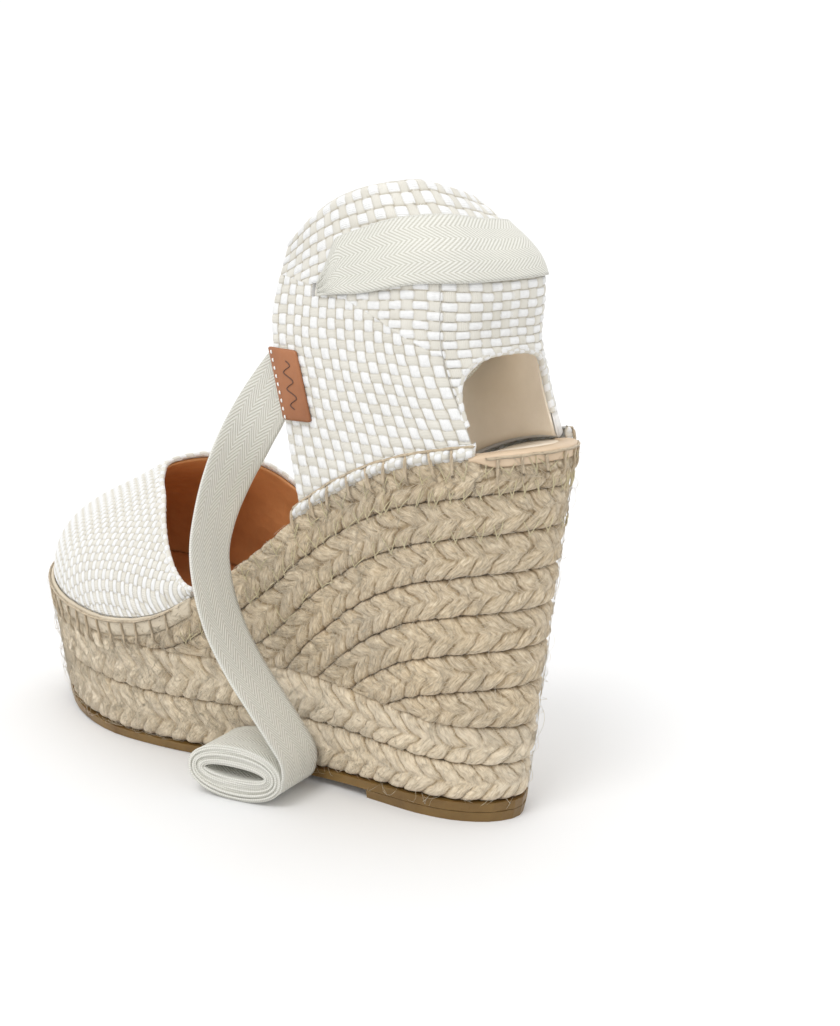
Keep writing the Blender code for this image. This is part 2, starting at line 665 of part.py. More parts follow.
def build():
    clear()
    col = collection("wedge_sandal")
    cutters = collection("cutters")
    make_sole(col)
    make_platform(col)
    make_edge_braid(col)
    make_fan(col)
    make_rand(col)
    make_heel_strip(col)
    make_toe_cap(col)
    make_cuff(col, cutters)
    make_tape_back(col)
    make_tape_fall(col)
    make_tape_inside(col)
    make_rolls(col)
    make_stitches(col)
    make_label(col)


build()
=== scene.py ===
"""Looks of the wedge sandal: plaited jute, basket weave cloth, leather, rubber and tape.

Shapes are worked out in millimetres with x to the outer side of the foot, y from the
toe tip to the heel and z up; to_frame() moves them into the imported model's frame.
"""
import math

import bpy
import numpy as np
from mathutils import Matrix, Vector


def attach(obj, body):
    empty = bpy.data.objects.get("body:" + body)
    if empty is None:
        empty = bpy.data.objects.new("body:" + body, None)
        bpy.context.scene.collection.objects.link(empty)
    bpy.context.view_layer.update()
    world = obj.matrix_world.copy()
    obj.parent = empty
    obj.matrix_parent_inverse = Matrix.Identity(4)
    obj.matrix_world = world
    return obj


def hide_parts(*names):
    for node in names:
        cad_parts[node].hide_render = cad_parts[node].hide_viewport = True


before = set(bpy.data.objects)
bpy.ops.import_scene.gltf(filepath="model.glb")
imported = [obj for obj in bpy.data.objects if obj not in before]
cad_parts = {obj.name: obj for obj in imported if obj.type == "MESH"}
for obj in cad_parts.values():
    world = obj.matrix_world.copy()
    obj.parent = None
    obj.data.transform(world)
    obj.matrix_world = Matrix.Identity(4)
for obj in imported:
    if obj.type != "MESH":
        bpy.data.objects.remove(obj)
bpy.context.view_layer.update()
RNG = np.random.default_rng(7)

MM = 0.001
X0, Y0 = 0.6, 112.6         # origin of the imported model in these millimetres
ROW_PITCH = 12.1            # height of one plaited row
RAND_HIGH, RAND_THICK = 6.4, 1.5
RAND_END = (111.0, 103.0)   # y where the toe rand stops, outer and inner side
STRIP_HIGH, STRIP_HALF = 3.8, 24.0
QUARTER_Y, QUARTER_HALF, QUARTER_LEGS = 153, 23, 9
FABRIC, LINING = 1.3, 0.8
TAPE_WIDE, TAPE_HALF_THICK = 20.0, 0.24
FUZZ_COUNT = 11000

# Outlines of the sole: T is its top edge, B the ground; (y, half width) on each side.
TIP_T, HEEL_T = (-3.0, -3.0), (0.0, 228.3)
TOP_LAT = [(-1, 9), (4, 18), (12, 26), (28, 35.3), (50, 41.5), (70, 44), (90, 44), (110, 42),
           (130, 39), (150, 36.5), (170, 34.5), (190, 32.5), (210, 26), (222, 15)]
TOP_MED = [(0, 15), (5.5, 23.5), (13, 30), (30, 38), (50, 42), (70, 43), (90, 41), (110, 37),
           (130, 34), (150, 32), (170, 31), (190, 30.5), (210, 26), (222, 15)]
TIP_B, HEEL_B = (-4.0, 3.2), (0.0, 213.5)
LOW_LAT = [(5, 6), (10, 14), (18, 22), (33, 31), (50, 36.3), (65, 38), (80, 36.5),
           (95, 33.5), (115, 28), (135, 23.5), (155, 21), (175, 20), (190, 18.5),
           (203, 14), (211, 7)]
LOW_MED = [(5, 11.5), (10.5, 19), (18, 25), (33, 32), (50, 36), (65, 37), (80, 35),
           (95, 31), (115, 26), (135, 22), (155, 20), (175, 19.5), (190, 18.5),
           (203, 14), (211, 7)]
# Heights along y: top edge, top of the platform rows, underside of the rows.
EDGE = [(-3, 50.5), (20, 46.5), (45, 44), (75, 45), (95, 50), (115, 61), (135, 75),
        (155, 91), (172, 101.5), (190, 109), (210, 113.5), (228.3, 116)]
PLATFORM = [(-3, 43.8), (20, 40), (45, 37.4), (60, 36.8), (90, 36.8), (160, 37.3),
            (190, 33.8), (210, 31.2), (228.3, 30)]
BASE = [(0, 10.5), (15, 7.0), (30, 4.7), (50, 3.35), (75, 3.12), (100, 3.3), (130, 4.3),
        (169, 6.0), (213.5, 6.4)]
# Back edge of the toe cap.
THROAT = [(42.4, 112.5, 60.6), (40, 105, 61.8), (36.5, 96, 65), (32.5, 88, 70.5), (27, 80, 76.5),
          (20, 71.5, 82.5), (11, 60, 88), (3, 54, 91), (-6, 56.5, 92.8), (-16, 64, 92.8),
          (-26, 73, 89.5), (-34.5, 82.5, 81), (-38.5, 92.5, 70), (-39.5, 104, 59.5)]


# ---------------------------------------------------------------- curves

def between(u, h, p, m, q, n):
    """Cubic from p to q over a step h, with slopes m and n at its ends."""
    return ((2 * u ** 3 - 3 * u ** 2 + 1) * p + (u ** 3 - 2 * u ** 2 + u) * h * m
            + (3 * u ** 2 - 2 * u ** 3) * q + (u ** 3 - u ** 2) * h * n)


def hermite(p, s, m, t):
    t = np.clip(np.atleast_1d(np.asarray(t, float)), s[0], s[-1])
    i = np.clip(np.searchsorted(s, t, side="right") - 1, 0, len(s) - 2)
    h = (s[i + 1] - s[i])[:, None]
    u = ((t - s[i]) / (s[i + 1] - s[i]))[:, None]
    return between(u, h, p[i], m[i], p[i + 1], m[i + 1])


def run_length(p):
    """Distance run along the points, starting at 0."""
    return np.concatenate([[0.0], np.cumsum(np.linalg.norm(np.diff(p, axis=0), axis=1))])


def chord(p):
    s = run_length(p)
    return s / s[-1]


def spline(points, t):
    p = np.asarray(points, float)
    s = chord(p)
    return hermite(p, s, np.gradient(p, s, axis=0), t)


def table(pairs, y):
    """Smooth value at y from (y, value) pairs."""
    p = np.asarray(pairs, float)
    v = p[:, 1:2]
    return hermite(v, p[:, 0], np.gradient(v, p[:, 0], axis=0), y)[:, 0]


def closed_outline(tip, lat, med, heel):
    """Closed curve over t: tip at 0, outer side, heel at 0.5, inner side."""
    a = np.array([tip] + [(x, y) for y, x in lat] + [heel], float)
    b = np.array([heel] + [(-x, y) for y, x in reversed(med)] + [tip], float)
    s = np.concatenate([chord(a) * 0.5, 0.5 + chord(b)[1:] * 0.5])
    p = np.concatenate([a, b[1:]])
    wrap_p = np.concatenate([p[-2:-1], p, p[1:2]])
    wrap_s = np.concatenate([[s[-2] - 1], s, [1 + s[1]]])
    m = np.gradient(wrap_p, wrap_s, axis=0)[1:-1]
    return lambda t: hermite(p, s, m, np.mod(np.atleast_1d(t), 1.0))


TOP = closed_outline(TIP_T, TOP_LAT, TOP_MED, HEEL_T)
LOW = closed_outline(TIP_B, LOW_LAT, LOW_MED, HEEL_B)
GRID_T = np.linspace(0, 1, 2001)
ARC = run_length(TOP(GRID_T))
ROUND = ARC[-1]


def edge_z(t):
    return table(EDGE, TOP(t)[:, 1])


def platform_z(t):
    return table(PLATFORM, TOP(t)[:, 1])


def base_z(t):
    return table(BASE, LOW(t)[:, 1])


def outward(t):
    d = TOP(t + 1e-3) - TOP(t - 1e-3)
    n = np.stack([d[:, 1], -d[:, 0]], axis=1)
    return n / np.linalg.norm(n, axis=1)[:, None]


def wall(t, z, inset=0.0):
    """Points of the sole's side wall at heights z, moved in by inset."""
    t = np.atleast_1d(np.asarray(t, float))
    z = np.broadcast_to(np.asarray(z, float), t.shape)
    k = (z / edge_z(t))[:, None]
    xy = LOW(t) * (1 - k) + TOP(t) * k - outward(t) * np.reshape(inset, (-1, 1))
    return np.column_stack([xy, z])


def at_y(y, side):
    """The t of the top edge at y, on the outer (1) or inner (-1) side."""
    grid = np.linspace(0.002, 0.498, 800)
    if side < 0:
        grid = 1 - grid
    return float(grid[np.argmin(abs(TOP(grid)[:, 1] - y))])


def row_z(t, k):
    """Lower edge of row k, counted down from the top edge."""
    h = 2e-3
    ds = np.linalg.norm(TOP(t + h) - TOP(t - h), axis=1)
    slope = np.clip((edge_z(t + h) - edge_z(t - h)) / ds, -0.9, 0.9)
    return edge_z(t) - k * ROW_PITCH * np.sqrt(1 + slope ** 2)


def smoothstep(a, b, v):
    u = np.clip((v - a) / (b - a), 0, 1)
    return u * u * (3 - 2 * u)


def heel_span(half):
    """The part of the top edge round the heel where x is within half."""
    grid = np.linspace(0.4, 0.5, 600)
    a = float(grid[np.argmin(abs(TOP(grid)[:, 0] - half))])
    return a, 1 - a


def arc_to_t(s):
    wraps = np.floor(s / ROUND)
    return np.interp(s - wraps * ROUND, ARC, GRID_T) + wraps


def t_to_arc(t):
    wraps = np.floor(t)
    return np.interp(t - wraps, GRID_T, ARC) + wraps * ROUND


# ---------------------------------------------------------------- meshes

TUBE_UP = (0.31, 0.17, 0.93)    # a direction that no path follows
TUBE_END = 0.08                 # radius at a tube's end, as a share


def to_frame(p):
    return (np.asarray(p, float) - (X0, Y0, 0.0)) * MM


def mesh_object(name, verts, faces, material, uv=None, colour=None, nodes=()):
    """Mesh from millimetre vertices; uv and colour are per vertex."""
    mesh = bpy.data.meshes.new(name)
    co = to_frame(verts)
    f = np.asarray(faces, np.int32)
    mesh.vertices.add(len(co))
    mesh.vertices.foreach_set("co", co.astype(np.float32).ravel())
    mesh.loops.add(f.size)
    mesh.loops.foreach_set("vertex_index", f.ravel())
    mesh.polygons.add(len(f))
    mesh.polygons.foreach_set("loop_start", np.arange(0, f.size, f.shape[1], dtype=np.int32))
    mesh.polygons.foreach_set("loop_total", np.full(len(f), f.shape[1], np.int32))
    mesh.update(calc_edges=True)
    mesh.validate()
    if uv is not None:
        layer = mesh.uv_layers.new(name="UVMap")
        layer.data.foreach_set("uv", np.asarray(uv, np.float32)[f.ravel()].ravel())
    if colour is not None:
        attr = mesh.color_attributes.new("Col", "FLOAT_COLOR", "POINT")
        rgba = np.column_stack([colour, np.ones(len(co))]).astype(np.float32)
        attr.data.foreach_set("color", rgba.ravel())
    mesh.polygons.foreach_set("use_smooth", np.ones(len(f), bool))
    mesh.materials.append(material)
    ob = bpy.data.objects.new(name, mesh)
    bpy.context.scene.collection.objects.link(ob)
    if nodes:
        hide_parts(*nodes)
    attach(ob, "root")
    return ob


def grid_faces(n, m, closed=False):
    """Quads of an n by m grid; closed joins the last of the m points to the first."""
    i, j = np.meshgrid(np.arange(n - 1), np.arange(m if closed else m - 1), indexing="ij")
    a, b = i * m + j, i * m + (j + 1) % m
    return np.stack([a, b, b + m, a + m], axis=-1).reshape(-1, 4)


def rim_faces(n, m):
    """Quads between the borders of two n by m grids, one after the other."""
    k = np.arange(n * m).reshape(n, m)
    rim = np.concatenate([k[0], k[1:, -1], k[-1, -2::-1], k[-2:0:-1, 0]])
    prev = np.roll(rim, 1)
    return np.stack([prev, rim, n * m + rim, n * m + prev], axis=1)


def shell(front, back):
    """Vertices and faces of the solid between two equal grids, front facing out."""
    n, m = front.shape[:2]
    f = grid_faces(n, m)
    faces = np.concatenate([f[:, ::-1], f + n * m, rim_faces(n, m)])
    return np.concatenate([front.reshape(-1, 3), back.reshape(-1, 3)]), faces


def end_caps(n, m):
    """Quads that close both ends of a tube of n rings with m points each."""
    return np.array([(e, e + j, e + j + 1, e + min(j + 2, m - 1)) for e in (0, (n - 1) * m)
                     for j in range(1, m - 2, 2)])


def grid_normals(g):
    n = np.cross(np.gradient(g, axis=0), np.gradient(g, axis=1))
    return n / np.maximum(np.linalg.norm(n, axis=2), 1e-9)[..., None]


def tubes(paths, radius, sides=6, squash=1.0):
    """Tubes with pointed ends along many paths of equal length: vertices, faces and uv."""
    paths = np.asarray(paths, float)
    k, n = paths.shape[:2]
    tan = np.gradient(paths, axis=1)
    tan /= np.maximum(np.linalg.norm(tan, axis=2), 1e-9)[..., None]
    side = np.cross(tan, np.broadcast_to(TUBE_UP, paths.shape))
    side /= np.maximum(np.linalg.norm(side, axis=2), 1e-9)[..., None]
    lift = np.cross(side, tan)
    radius = np.broadcast_to(np.asarray(radius, float), (k, n)).copy()
    radius[:, [0, -1]] *= TUBE_END
    ang = np.linspace(0, 2 * math.pi, sides, endpoint=False)
    v = (paths[:, :, None] + radius[:, :, None, None]
         * (np.cos(ang)[:, None] * side[:, :, None]
            + squash * np.sin(ang)[:, None] * lift[:, :, None]))
    one = grid_faces(n, sides, True)
    faces = np.concatenate([one + i * n * sides for i in range(k)])
    s = np.concatenate([np.zeros((k, 1)),
                        np.cumsum(np.linalg.norm(np.diff(paths, axis=1), axis=2), axis=1)], 1)
    uv = np.stack([np.broadcast_to(ang / (2 * math.pi), (k, n, sides)),
                   np.broadcast_to(s[:, :, None], (k, n, sides))], axis=-1)
    return v.reshape(-1, 3), faces, uv.reshape(-1, 2)


# ---------------------------------------------------------------- materials

def node_material(name):
    mat = bpy.data.materials.new(name)
    mat.use_nodes = True
    tree = mat.node_tree
    return mat, tree, tree.nodes["Principled BSDF"]


def put(node, **values):
    """Set a node's inputs; an underscore stands for a space in the input's name."""
    for name, value in values.items():
        node.inputs[name.replace("_", " ")].default_value = value


def link(tree, a, b):
    tree.links.new(a, b)


def vertex_colour(tree):
    """Red, green and blue of the mesh's own colours."""
    attr = tree.nodes.new("ShaderNodeAttribute")
    attr.attribute_name = "Col"
    split = tree.nodes.new("ShaderNodeSeparateColor")
    link(tree, attr.outputs["Color"], split.inputs["Color"])
    return split.outputs


def ramp(tree, factor, stops):
    node = tree.nodes.new("ShaderNodeValToRGB")
    while len(node.color_ramp.elements) < len(stops):
        node.color_ramp.elements.new(0.5)
    for e, (pos, col) in zip(node.color_ramp.elements, stops):
        e.position = pos
        e.color = (*col, 1)
    link(tree, factor, node.inputs["Fac"])
    return node.outputs["Color"]


def noise(tree, vector, scale, detail=4.0, rough=0.55):
    node = tree.nodes.new("ShaderNodeTexNoise")
    put(node, Scale=scale, Detail=detail, Roughness=rough)
    link(tree, vector, node.inputs["Vector"])
    return node.outputs["Fac"]


def mapped(tree, source, scale):
    coord = tree.nodes.new("ShaderNodeTexCoord")
    node = tree.nodes.new("ShaderNodeMapping")
    put(node, Scale=scale)
    link(tree, coord.outputs[source], node.inputs["Vector"])
    return node.outputs["Vector"]


def cloud(tree, scale, detail, rough=0.55):
    """Noise in the object's own space; a larger scale gives finer grain."""
    return noise(tree, mapped(tree, "Object", (scale,) * 3), 1.0, detail, rough)


def bump(tree, shader, height, strength, distance, before=None):
    node = tree.nodes.new("ShaderNodeBump")
    put(node, Strength=strength, Distance=distance)
    link(tree, height, node.inputs["Height"])
    if before is not None:
        link(tree, before, node.inputs["Normal"])
    if shader is not None:
        link(tree, node.outputs["Normal"], shader.inputs["Normal"])
    return node.outputs["Normal"]


def math_node(tree, op, a, b=None):
    node = tree.nodes.new("ShaderNodeMath")
    node.operation = op
    for i, v in enumerate((a, b)):
        if v is None:
            continue
        if isinstance(v, (int, float)):
            node.inputs[i].default_value = v
        else:
            link(tree, v, node.inputs[i])
    return node.outputs[0]


def mix_colour(tree, fac, a, b, mode="MIX"):
    node = tree.nodes.new("ShaderNodeMix")
    node.data_type = "RGBA"
    node.blend_type = mode
    for socket, v in ((node.inputs[0], fac), (node.inputs[6], a), (node.inputs[7], b)):
        if isinstance(v, (int, float)):
            socket.default_value = v
        elif isinstance(v, tuple):
            socket.default_value = (*v, 1)
        else:
            link(tree, v, socket)
    return node.outputs[2]


def tint(tree, a, b):
    return mix_colour(tree, 1.0, a, b, "MULTIPLY")


def times(tree, a, b):
    return math_node(tree, "MULTIPLY", a, b)


def plus(tree, a, b):
    return math_node(tree, "ADD", a, b)


def jute_material(name, dark, mid, light, fine_scale, broad_scale, along, shaded=False):
    """Fibres run along v of the strand's UV, u goes across or round the strand.

    Shaded: vertex colour holds r = painted shade in the gaps between strands and rows, b = fibre
    ridges, painted darker in their hollows and a little lighter on top."""
    mat, tree, sh = node_material(name)
    fine = noise(tree, mapped(tree, "UV", (fine_scale, along, 1.0)), 1.0, 5.0, 0.6)
    broad = noise(tree, mapped(tree, "UV", (broad_scale, along * 0.6, 1.0)), 1.0, 3.0, 0.5)
    patch = cloud(tree, 55.0, 3.0, 0.5)
    tone = plus(tree, times(tree, fine, 0.55), times(tree, broad, 0.45))
    col = ramp(tree, tone, [(0.30, dark), (0.47, mid), (0.66, light)])
    warm = mix_colour(tree, patch, (0.86, 0.87, 0.90), (1.10, 1.05, 0.96))
    col = tint(tree, col, warm)
    if shaded:
        own = vertex_colour(tree)
        # Painted shade: a low red darkens the gaps between strands and rows almost to black.
        gap = ramp(tree, own["Red"], [(0.0, (0.16, 0.12, 0.075)), (0.22, (0.62, 0.56, 0.47)),
                                      (0.55, (1, 1, 1))])
        # Painted shade in the hollows between fibre ridges and a slight painted highlight on the
        # ridges.
        ridge_shade = ramp(tree, own["Blue"], [(0.15, (0.80, 0.77, 0.71)), (0.7, (1.06,) * 3)])
        col = tint(tree, tint(tree, col, gap), ridge_shade)
    link(tree, col, sh.inputs["Base Color"])
    put(sh, Roughness=0.8, Sheen_Weight=0.25, Sheen_Roughness=0.5)
    first = bump(tree, None, broad, 0.8, 0.0009)
    bump(tree, sh, fine, 0.9, 0.0004, first)
    return mat


def weave_material():
    """Basket weave: vertex colour holds r = white yarn, g = height, which darkens low places as
    painted shade, b = across-yarn place.
    """
    mat, tree, sh = node_material("woven_look")
    own = vertex_colour(tree)
    grain = cloud(tree, 900.0, 2.0, 0.5)
    patch = cloud(tree, 160.0, 2.0, 0.5)
    white = mix_colour(tree, grain, (0.70, 0.70, 0.69), (0.88, 0.88, 0.875))
    cream = mix_colour(tree, patch, (0.58, 0.55, 0.475), (0.76, 0.74, 0.68))
    yarn = mix_colour(tree, own["Red"], cream, white)
    # Painted shade: low places of the weave are darkened.
    gap = ramp(tree, own["Green"], [(0.0, (0.62, 0.57, 0.49)), (0.30, (0.90, 0.885, 0.85)),
                                    (0.55, (1, 1, 1))])
    link(tree, tint(tree, yarn, gap), sh.inputs["Base Color"])
    rough = ramp(tree, own["Red"], [(0.0, (0.62,) * 3), (1.0, (0.36,) * 3)])
    link(tree, rough, sh.inputs["Roughness"])
    lines = math_node(tree, "SINE", times(tree, own["Blue"], 44.0))
    first = bump(tree, None, lines, 0.35, 0.00025)
    bump(tree, sh, grain, 0.25, 0.0002, first)
    put(sh, Sheen_Weight=0.15)
    return mat


def tape_material():
    """Herringbone tape: u 0..1 across 20 mm, v in millimetres along."""
    mat, tree, sh = node_material("tape_look")
    coord = tree.nodes.new("ShaderNodeTexCoord")
    split = tree.nodes.new("ShaderNodeSeparateXYZ")
    link(tree, coord.outputs["UV"], split.inputs["Vector"])
    across = times(tree, split.outputs["X"], TAPE_WIDE)
    zig = math_node(tree, "PINGPONG", across, TAPE_WIDE / 6)
    phase = plus(tree, times(tree, zig, 6.0), times(tree, split.outputs["Y"], 3.9))
    twill = math_node(tree, "SINE", phase)
    thread = math_node(tree, "SINE", times(tree, across, 15.0))
    both = plus(tree, times(tree, twill, 0.8), times(tree, thread, 0.2))
    unit = plus(tree, times(tree, both, 0.5), 0.5)
    weave = ramp(tree, unit, [(0.0, (0.47, 0.455, 0.39)), (0.4, (0.66, 0.65, 0.58)),
                              (1.0, (0.76, 0.755, 0.70))])
    patch = cloud(tree, 60.0, 3.0)
    tone = mix_colour(tree, patch, (0.94, 0.94, 0.95), (1.03, 1.03, 1.02))
    from_middle = math_node(tree, "ABSOLUTE", math_node(tree, "SUBTRACT", split.outputs["X"], 0.5))
    selvedge = math_node(tree, "GREATER_THAN", from_middle, 0.487)
    rib = math_node(tree, "SINE", times(tree, split.outputs["Y"], 9.0))
    rim = ramp(tree, plus(tree, times(tree, rib, 0.5), 0.5),
               [(0.0, (0.60, 0.59, 0.53)), (1.0, (0.72, 0.71, 0.65))])
    weave = mix_colour(tree, selvedge, weave, rim)
    link(tree, tint(tree, weave, tone), sh.inputs["Base Color"])
    put(sh, Roughness=0.85, Sheen_Weight=0.2)
    unit = mix_colour(tree, selvedge, unit, (0.5, 0.5, 0.5))
    bump(tree, sh, unit, 0.6, 0.00035)
    return mat


def leather_material(name, dark, light, roughness=0.5, scale=420.0, strength=0.25):
    mat, tree, sh = node_material(name)
    vec = mapped(tree, "Object", (scale,) * 3)
    cells = tree.nodes.new("ShaderNodeTexVoronoi")
    put(cells, Scale=1.6)
    link(tree, vec, cells.inputs["Vector"])
    broad = cloud(tree, 45.0, 4.0)
    fine = noise(tree, vec, 1.2, 3.0)
    link(tree, ramp(tree, broad, [(0.3, dark), (0.7, light)]), sh.inputs["Base Color"])
    bump(tree, sh, plus(tree, cells.outputs["Distance"], fine), strength, 0.0003)
    put(sh, Roughness=roughness)
    return mat


def rubber_material():
    mat, tree, sh = node_material("rubber_look")
    broad = cloud(tree, 70.0, 5.0)
    fine = cloud(tree, 900.0, 2.0)
    col = ramp(tree, broad, [(0.3, (0.13, 0.068, 0.015)), (0.7, (0.22, 0.128, 0.034))])
    link(tree, col, sh.inputs["Base Color"])
    put(sh, Roughness=0.42, Subsurface_Weight=0.05)
    bump(tree, sh, fine, 0.25, 0.0003)
    return mat


MAT = {
    "jute": jute_material("jute_look", (0.33, 0.25, 0.155), (0.60, 0.495, 0.35),
                          (0.86, 0.765, 0.60), 4.2, 1.4, 0.55, shaded=True),
    # Painted light: a lighter copy of the same jute, for the platform rows.
    "jute_painted_lighter": jute_material("jute_painted_lighter_look", (0.46, 0.37, 0.25), (0.76, 0.655, 0.50),
                                (0.91, 0.825, 0.665), 4.2, 1.4, 0.55, shaded=True),
    "thread": jute_material("thread_look", (0.34, 0.25, 0.15), (0.56, 0.45, 0.31),
                            (0.74, 0.64, 0.48), 20.0, 6.0, 0.8),
    "fuzz": jute_material("fuzz_look", (0.62, 0.52, 0.37), (0.78, 0.69, 0.53),
                          (0.90, 0.83, 0.69), 8.0, 3.0, 0.4),
    "straw": jute_material("straw_look", (0.55, 0.47, 0.27), (0.70, 0.62, 0.39),
                           (0.80, 0.73, 0.50), 8.0, 3.0, 0.4),
    "woven": weave_material(),
    "tape": tape_material(),
    "rubber": rubber_material(),
    "tan": leather_material("tan_look", (0.56, 0.42, 0.28), (0.68, 0.53, 0.375), 0.48),
    "brown": leather_material("brown_look", (0.432, 0.192, 0.074), (0.702, 0.351, 0.149),
                              0.42, 160.0, 0.7),
    "beige": leather_material("beige_look", (0.82, 0.73, 0.60), (0.92, 0.83, 0.71), 0.55),
    "rand": leather_material("rand_look", (0.52, 0.44, 0.33), (0.64, 0.56, 0.43), 0.62, 700.0),
    "label": leather_material("label_look", (0.25, 0.09, 0.032), (0.36, 0.14, 0.055), 0.5),
    "stamp": leather_material("stamp_look", (0.07, 0.03, 0.02), (0.11, 0.05, 0.03), 0.6),
    "white": leather_material("white_look", (0.80, 0.79, 0.76), (0.88, 0.88, 0.86), 0.5, 1200.0),
    "foam": leather_material("foam_look", (0.55, 0.47, 0.36), (0.66, 0.58, 0.46), 0.9),
    "cork": leather_material("cork_look", (0.33, 0.22, 0.13), (0.45, 0.32, 0.20), 0.9),
}


# ---------------------------------------------------------------- plaited rows

STRAND_STEP = 7.1           # distance between strands along a row
LEAN, LEAN_HALF = 5.6, 6.05  # how far a strand runs on, edge to middle, in a row this half high
RING_STEP, ROW_POINTS = 0.36, 40
BACK_INSET = 4.6            # how deep the plait's back lies in the wall
SEAM_Y = 118                # where the platform rows start and end, on the inner side


def hashed(i, seed):
    v = np.sin(i * 12.9898 + seed * 78.233) * 43758.5453
    return v - np.floor(v)


def ridges(across, along, seed):
    """Fibre ridges: quick changes across the strand, slow ones along it."""
    r = np.random.default_rng(seed)
    out = np.zeros_like(across)
    for wave, amp in ((1.7, 0.26), (1.0, 0.30), (0.7, 0.30), (0.5, 0.26)):
        for _ in range(3):
            f, g = r.uniform(0.8, 1.25) / wave, r.normal(0, 0.13)
            out += amp * np.sin(6.2832 * (across * f + along * g) + r.uniform(0, 6.28)
                                + 1.3 * np.sin(along * r.uniform(0.3, 0.8) + across * 0.7))
    return out / 3


def plait(name, t0, t1, low, high, node, tuck, seed):
    """Flat plait laid on the wall between two heights, with strands meeting in a chevron."""
    s0, s1 = t_to_arc(t0), t_to_arc(t1)
    n = max(int((s1 - s0) / RING_STEP), 40)
    s = np.linspace(s0, s1, n)
    t = arc_to_t(s)
    mid, half = (low(t) + high(t)) / 2, np.maximum((high(t) - low(t)) / 2, 0.8)
    slope = np.clip(np.gradient(mid, s), -1.2, 1.2)
    cos = 1 / np.sqrt(1 + slope ** 2)
    sin = slope * cos
    run = np.concatenate([[0], np.cumsum(np.diff(s) / cos[1:])])
    # w is -1 to 1 across the row, close together at its edges.
    w = np.sin(np.linspace(-1, 1, ROW_POINTS) * 1.42)[None] / math.sin(1.42)
    x = run[:, None] + (half * sin)[:, None] * w
    y = (half * cos)[:, None] * w
    x = x + 1.8 * soft_noise(x, y, 28, seed) + 0.8 * soft_noise(x, y, 8, seed + 50)
    lean = LEAN * np.minimum(half * cos, 7.0)[:, None] / LEAN_HALF
    q = (x + lean * (abs(w + 0.22 * soft_noise(x, 0 * y, 13, seed + 9)) ** 0.9)) / STRAND_STEP
    heights = []
    for side, shift in ((1, 0.0), (-1, 0.5)):
        i = np.floor(q + shift)
        f = q + shift - i - 0.5
        f = f + 0.34 * (hashed(i, seed + side) - 0.5) * (1 - 4 * f * f)
        round_top = np.clip(1 - (2 * f) ** 2, 0, 1) ** 0.6
        tip = 0.5 * hashed(i, seed + 5 * side)
        reach = smoothstep(-0.62 + tip, 0.02 + tip, side * w)
        heights.append(round_top * reach * (0.78 + 0.32 * hashed(i, seed + 3 * side)))
    high_side = np.maximum(*heights)
    fibre = ridges(q * STRAND_STEP * 0.7, y * 1.4, seed)
    depth = (1.5 * (1 - high_side) + 2.0 * abs(w) ** 8 - 0.20 * fibre
             + 0.4 * soft_noise(x, y, 21, seed + 4) + 0.05)
    z = mid[:, None] + half[:, None] * w
    z = z + 0.30 * fibre * abs(w) ** 6
    ring_z = np.concatenate([z[:, :1], z, z[:, -1:]], 1)
    ring_d = np.concatenate([np.full((n, 1), BACK_INSET), depth, np.full((n, 1), BACK_INSET)], 1)
    m = ring_z.shape[1]
    tt = np.repeat(t, m)
    points = wall(tt, ring_z.ravel(), tuck(tt, ring_z.ravel(), ring_d.ravel()))
    faces = np.concatenate([grid_faces(n, m, True), end_caps(n, m)])
    # Red is painted shade: low between the strands and at the row's edges, near black on the back
    # rings below.
    dark = np.clip(high_side, 0, 1) ** 0.8 * (1 - 0.75 * abs(w) ** 12)
    tone = 0.5 + 0.5 * soft_noise(x, y, 30, seed + 7)
    # Blue follows the fibre ridges, from which the material paints shade and highlight.
    colour = np.stack([dark, tone + 0 * dark, np.clip(0.5 + 0.5 * fibre, 0, 1)], -1)
    colour = np.concatenate([colour[:, :1] * 0.1, colour, colour[:, -1:] * 0.1], 1).reshape(-1, 3)
    u = np.concatenate([q[:, :1], q, q[:, -1:]], 1) * STRAND_STEP * 0.7 + seed * 40
    v = np.concatenate([y[:, :1] - 3, y, y[:, -1:] + 3], 1) * 1.4
    # The platform rows get the lighter copy of the jute, as painted light.
    look = MAT["jute_painted_lighter" if node.startswith("platform") else "jute"]
    mesh_object(name, points, faces, look, np.stack([u, v], -1).reshape(-1, 2), colour,
                (node,))


def no_tuck(t, z, depth):
    return depth


def fan_tuck(t, z, depth):
    """Go in behind the platform plait below its top line."""
    below = platform_z(t) + 0.2 - z
    return depth + 4.5 * smoothstep(-0.6, 2.6, below)


def edge_top(t):
    """Top of the edge plait: lower where the leather strip lies over it."""
    x, y = TOP(t).T
    return edge_z(t) - 0.1 - 1.6 * (y > 195) * (1 - smoothstep(21.5, 22.5, abs(x)))


def edge_tuck(t, z, depth):
    """Behind the platform plait, the toe rand and the leather strip at the heel."""
    depth = fan_tuck(t, z, depth)
    (x, y), e = TOP(t).T, edge_z(t)
    end = np.where(x > 0, RAND_END[0], RAND_END[1])
    rand = (1 - smoothstep(-2, 1, y - end)) * smoothstep(-0.8, 0.4, z - (e - RAND_HIGH))
    heel = (y > 195) * (1 - smoothstep(21, 23, abs(x)))
    cover = np.maximum(rand, heel * smoothstep(-0.6, 0.3, z - (e - STRIP_HIGH)))
    return depth * (1 - cover) + np.maximum(depth, 2.0) * cover


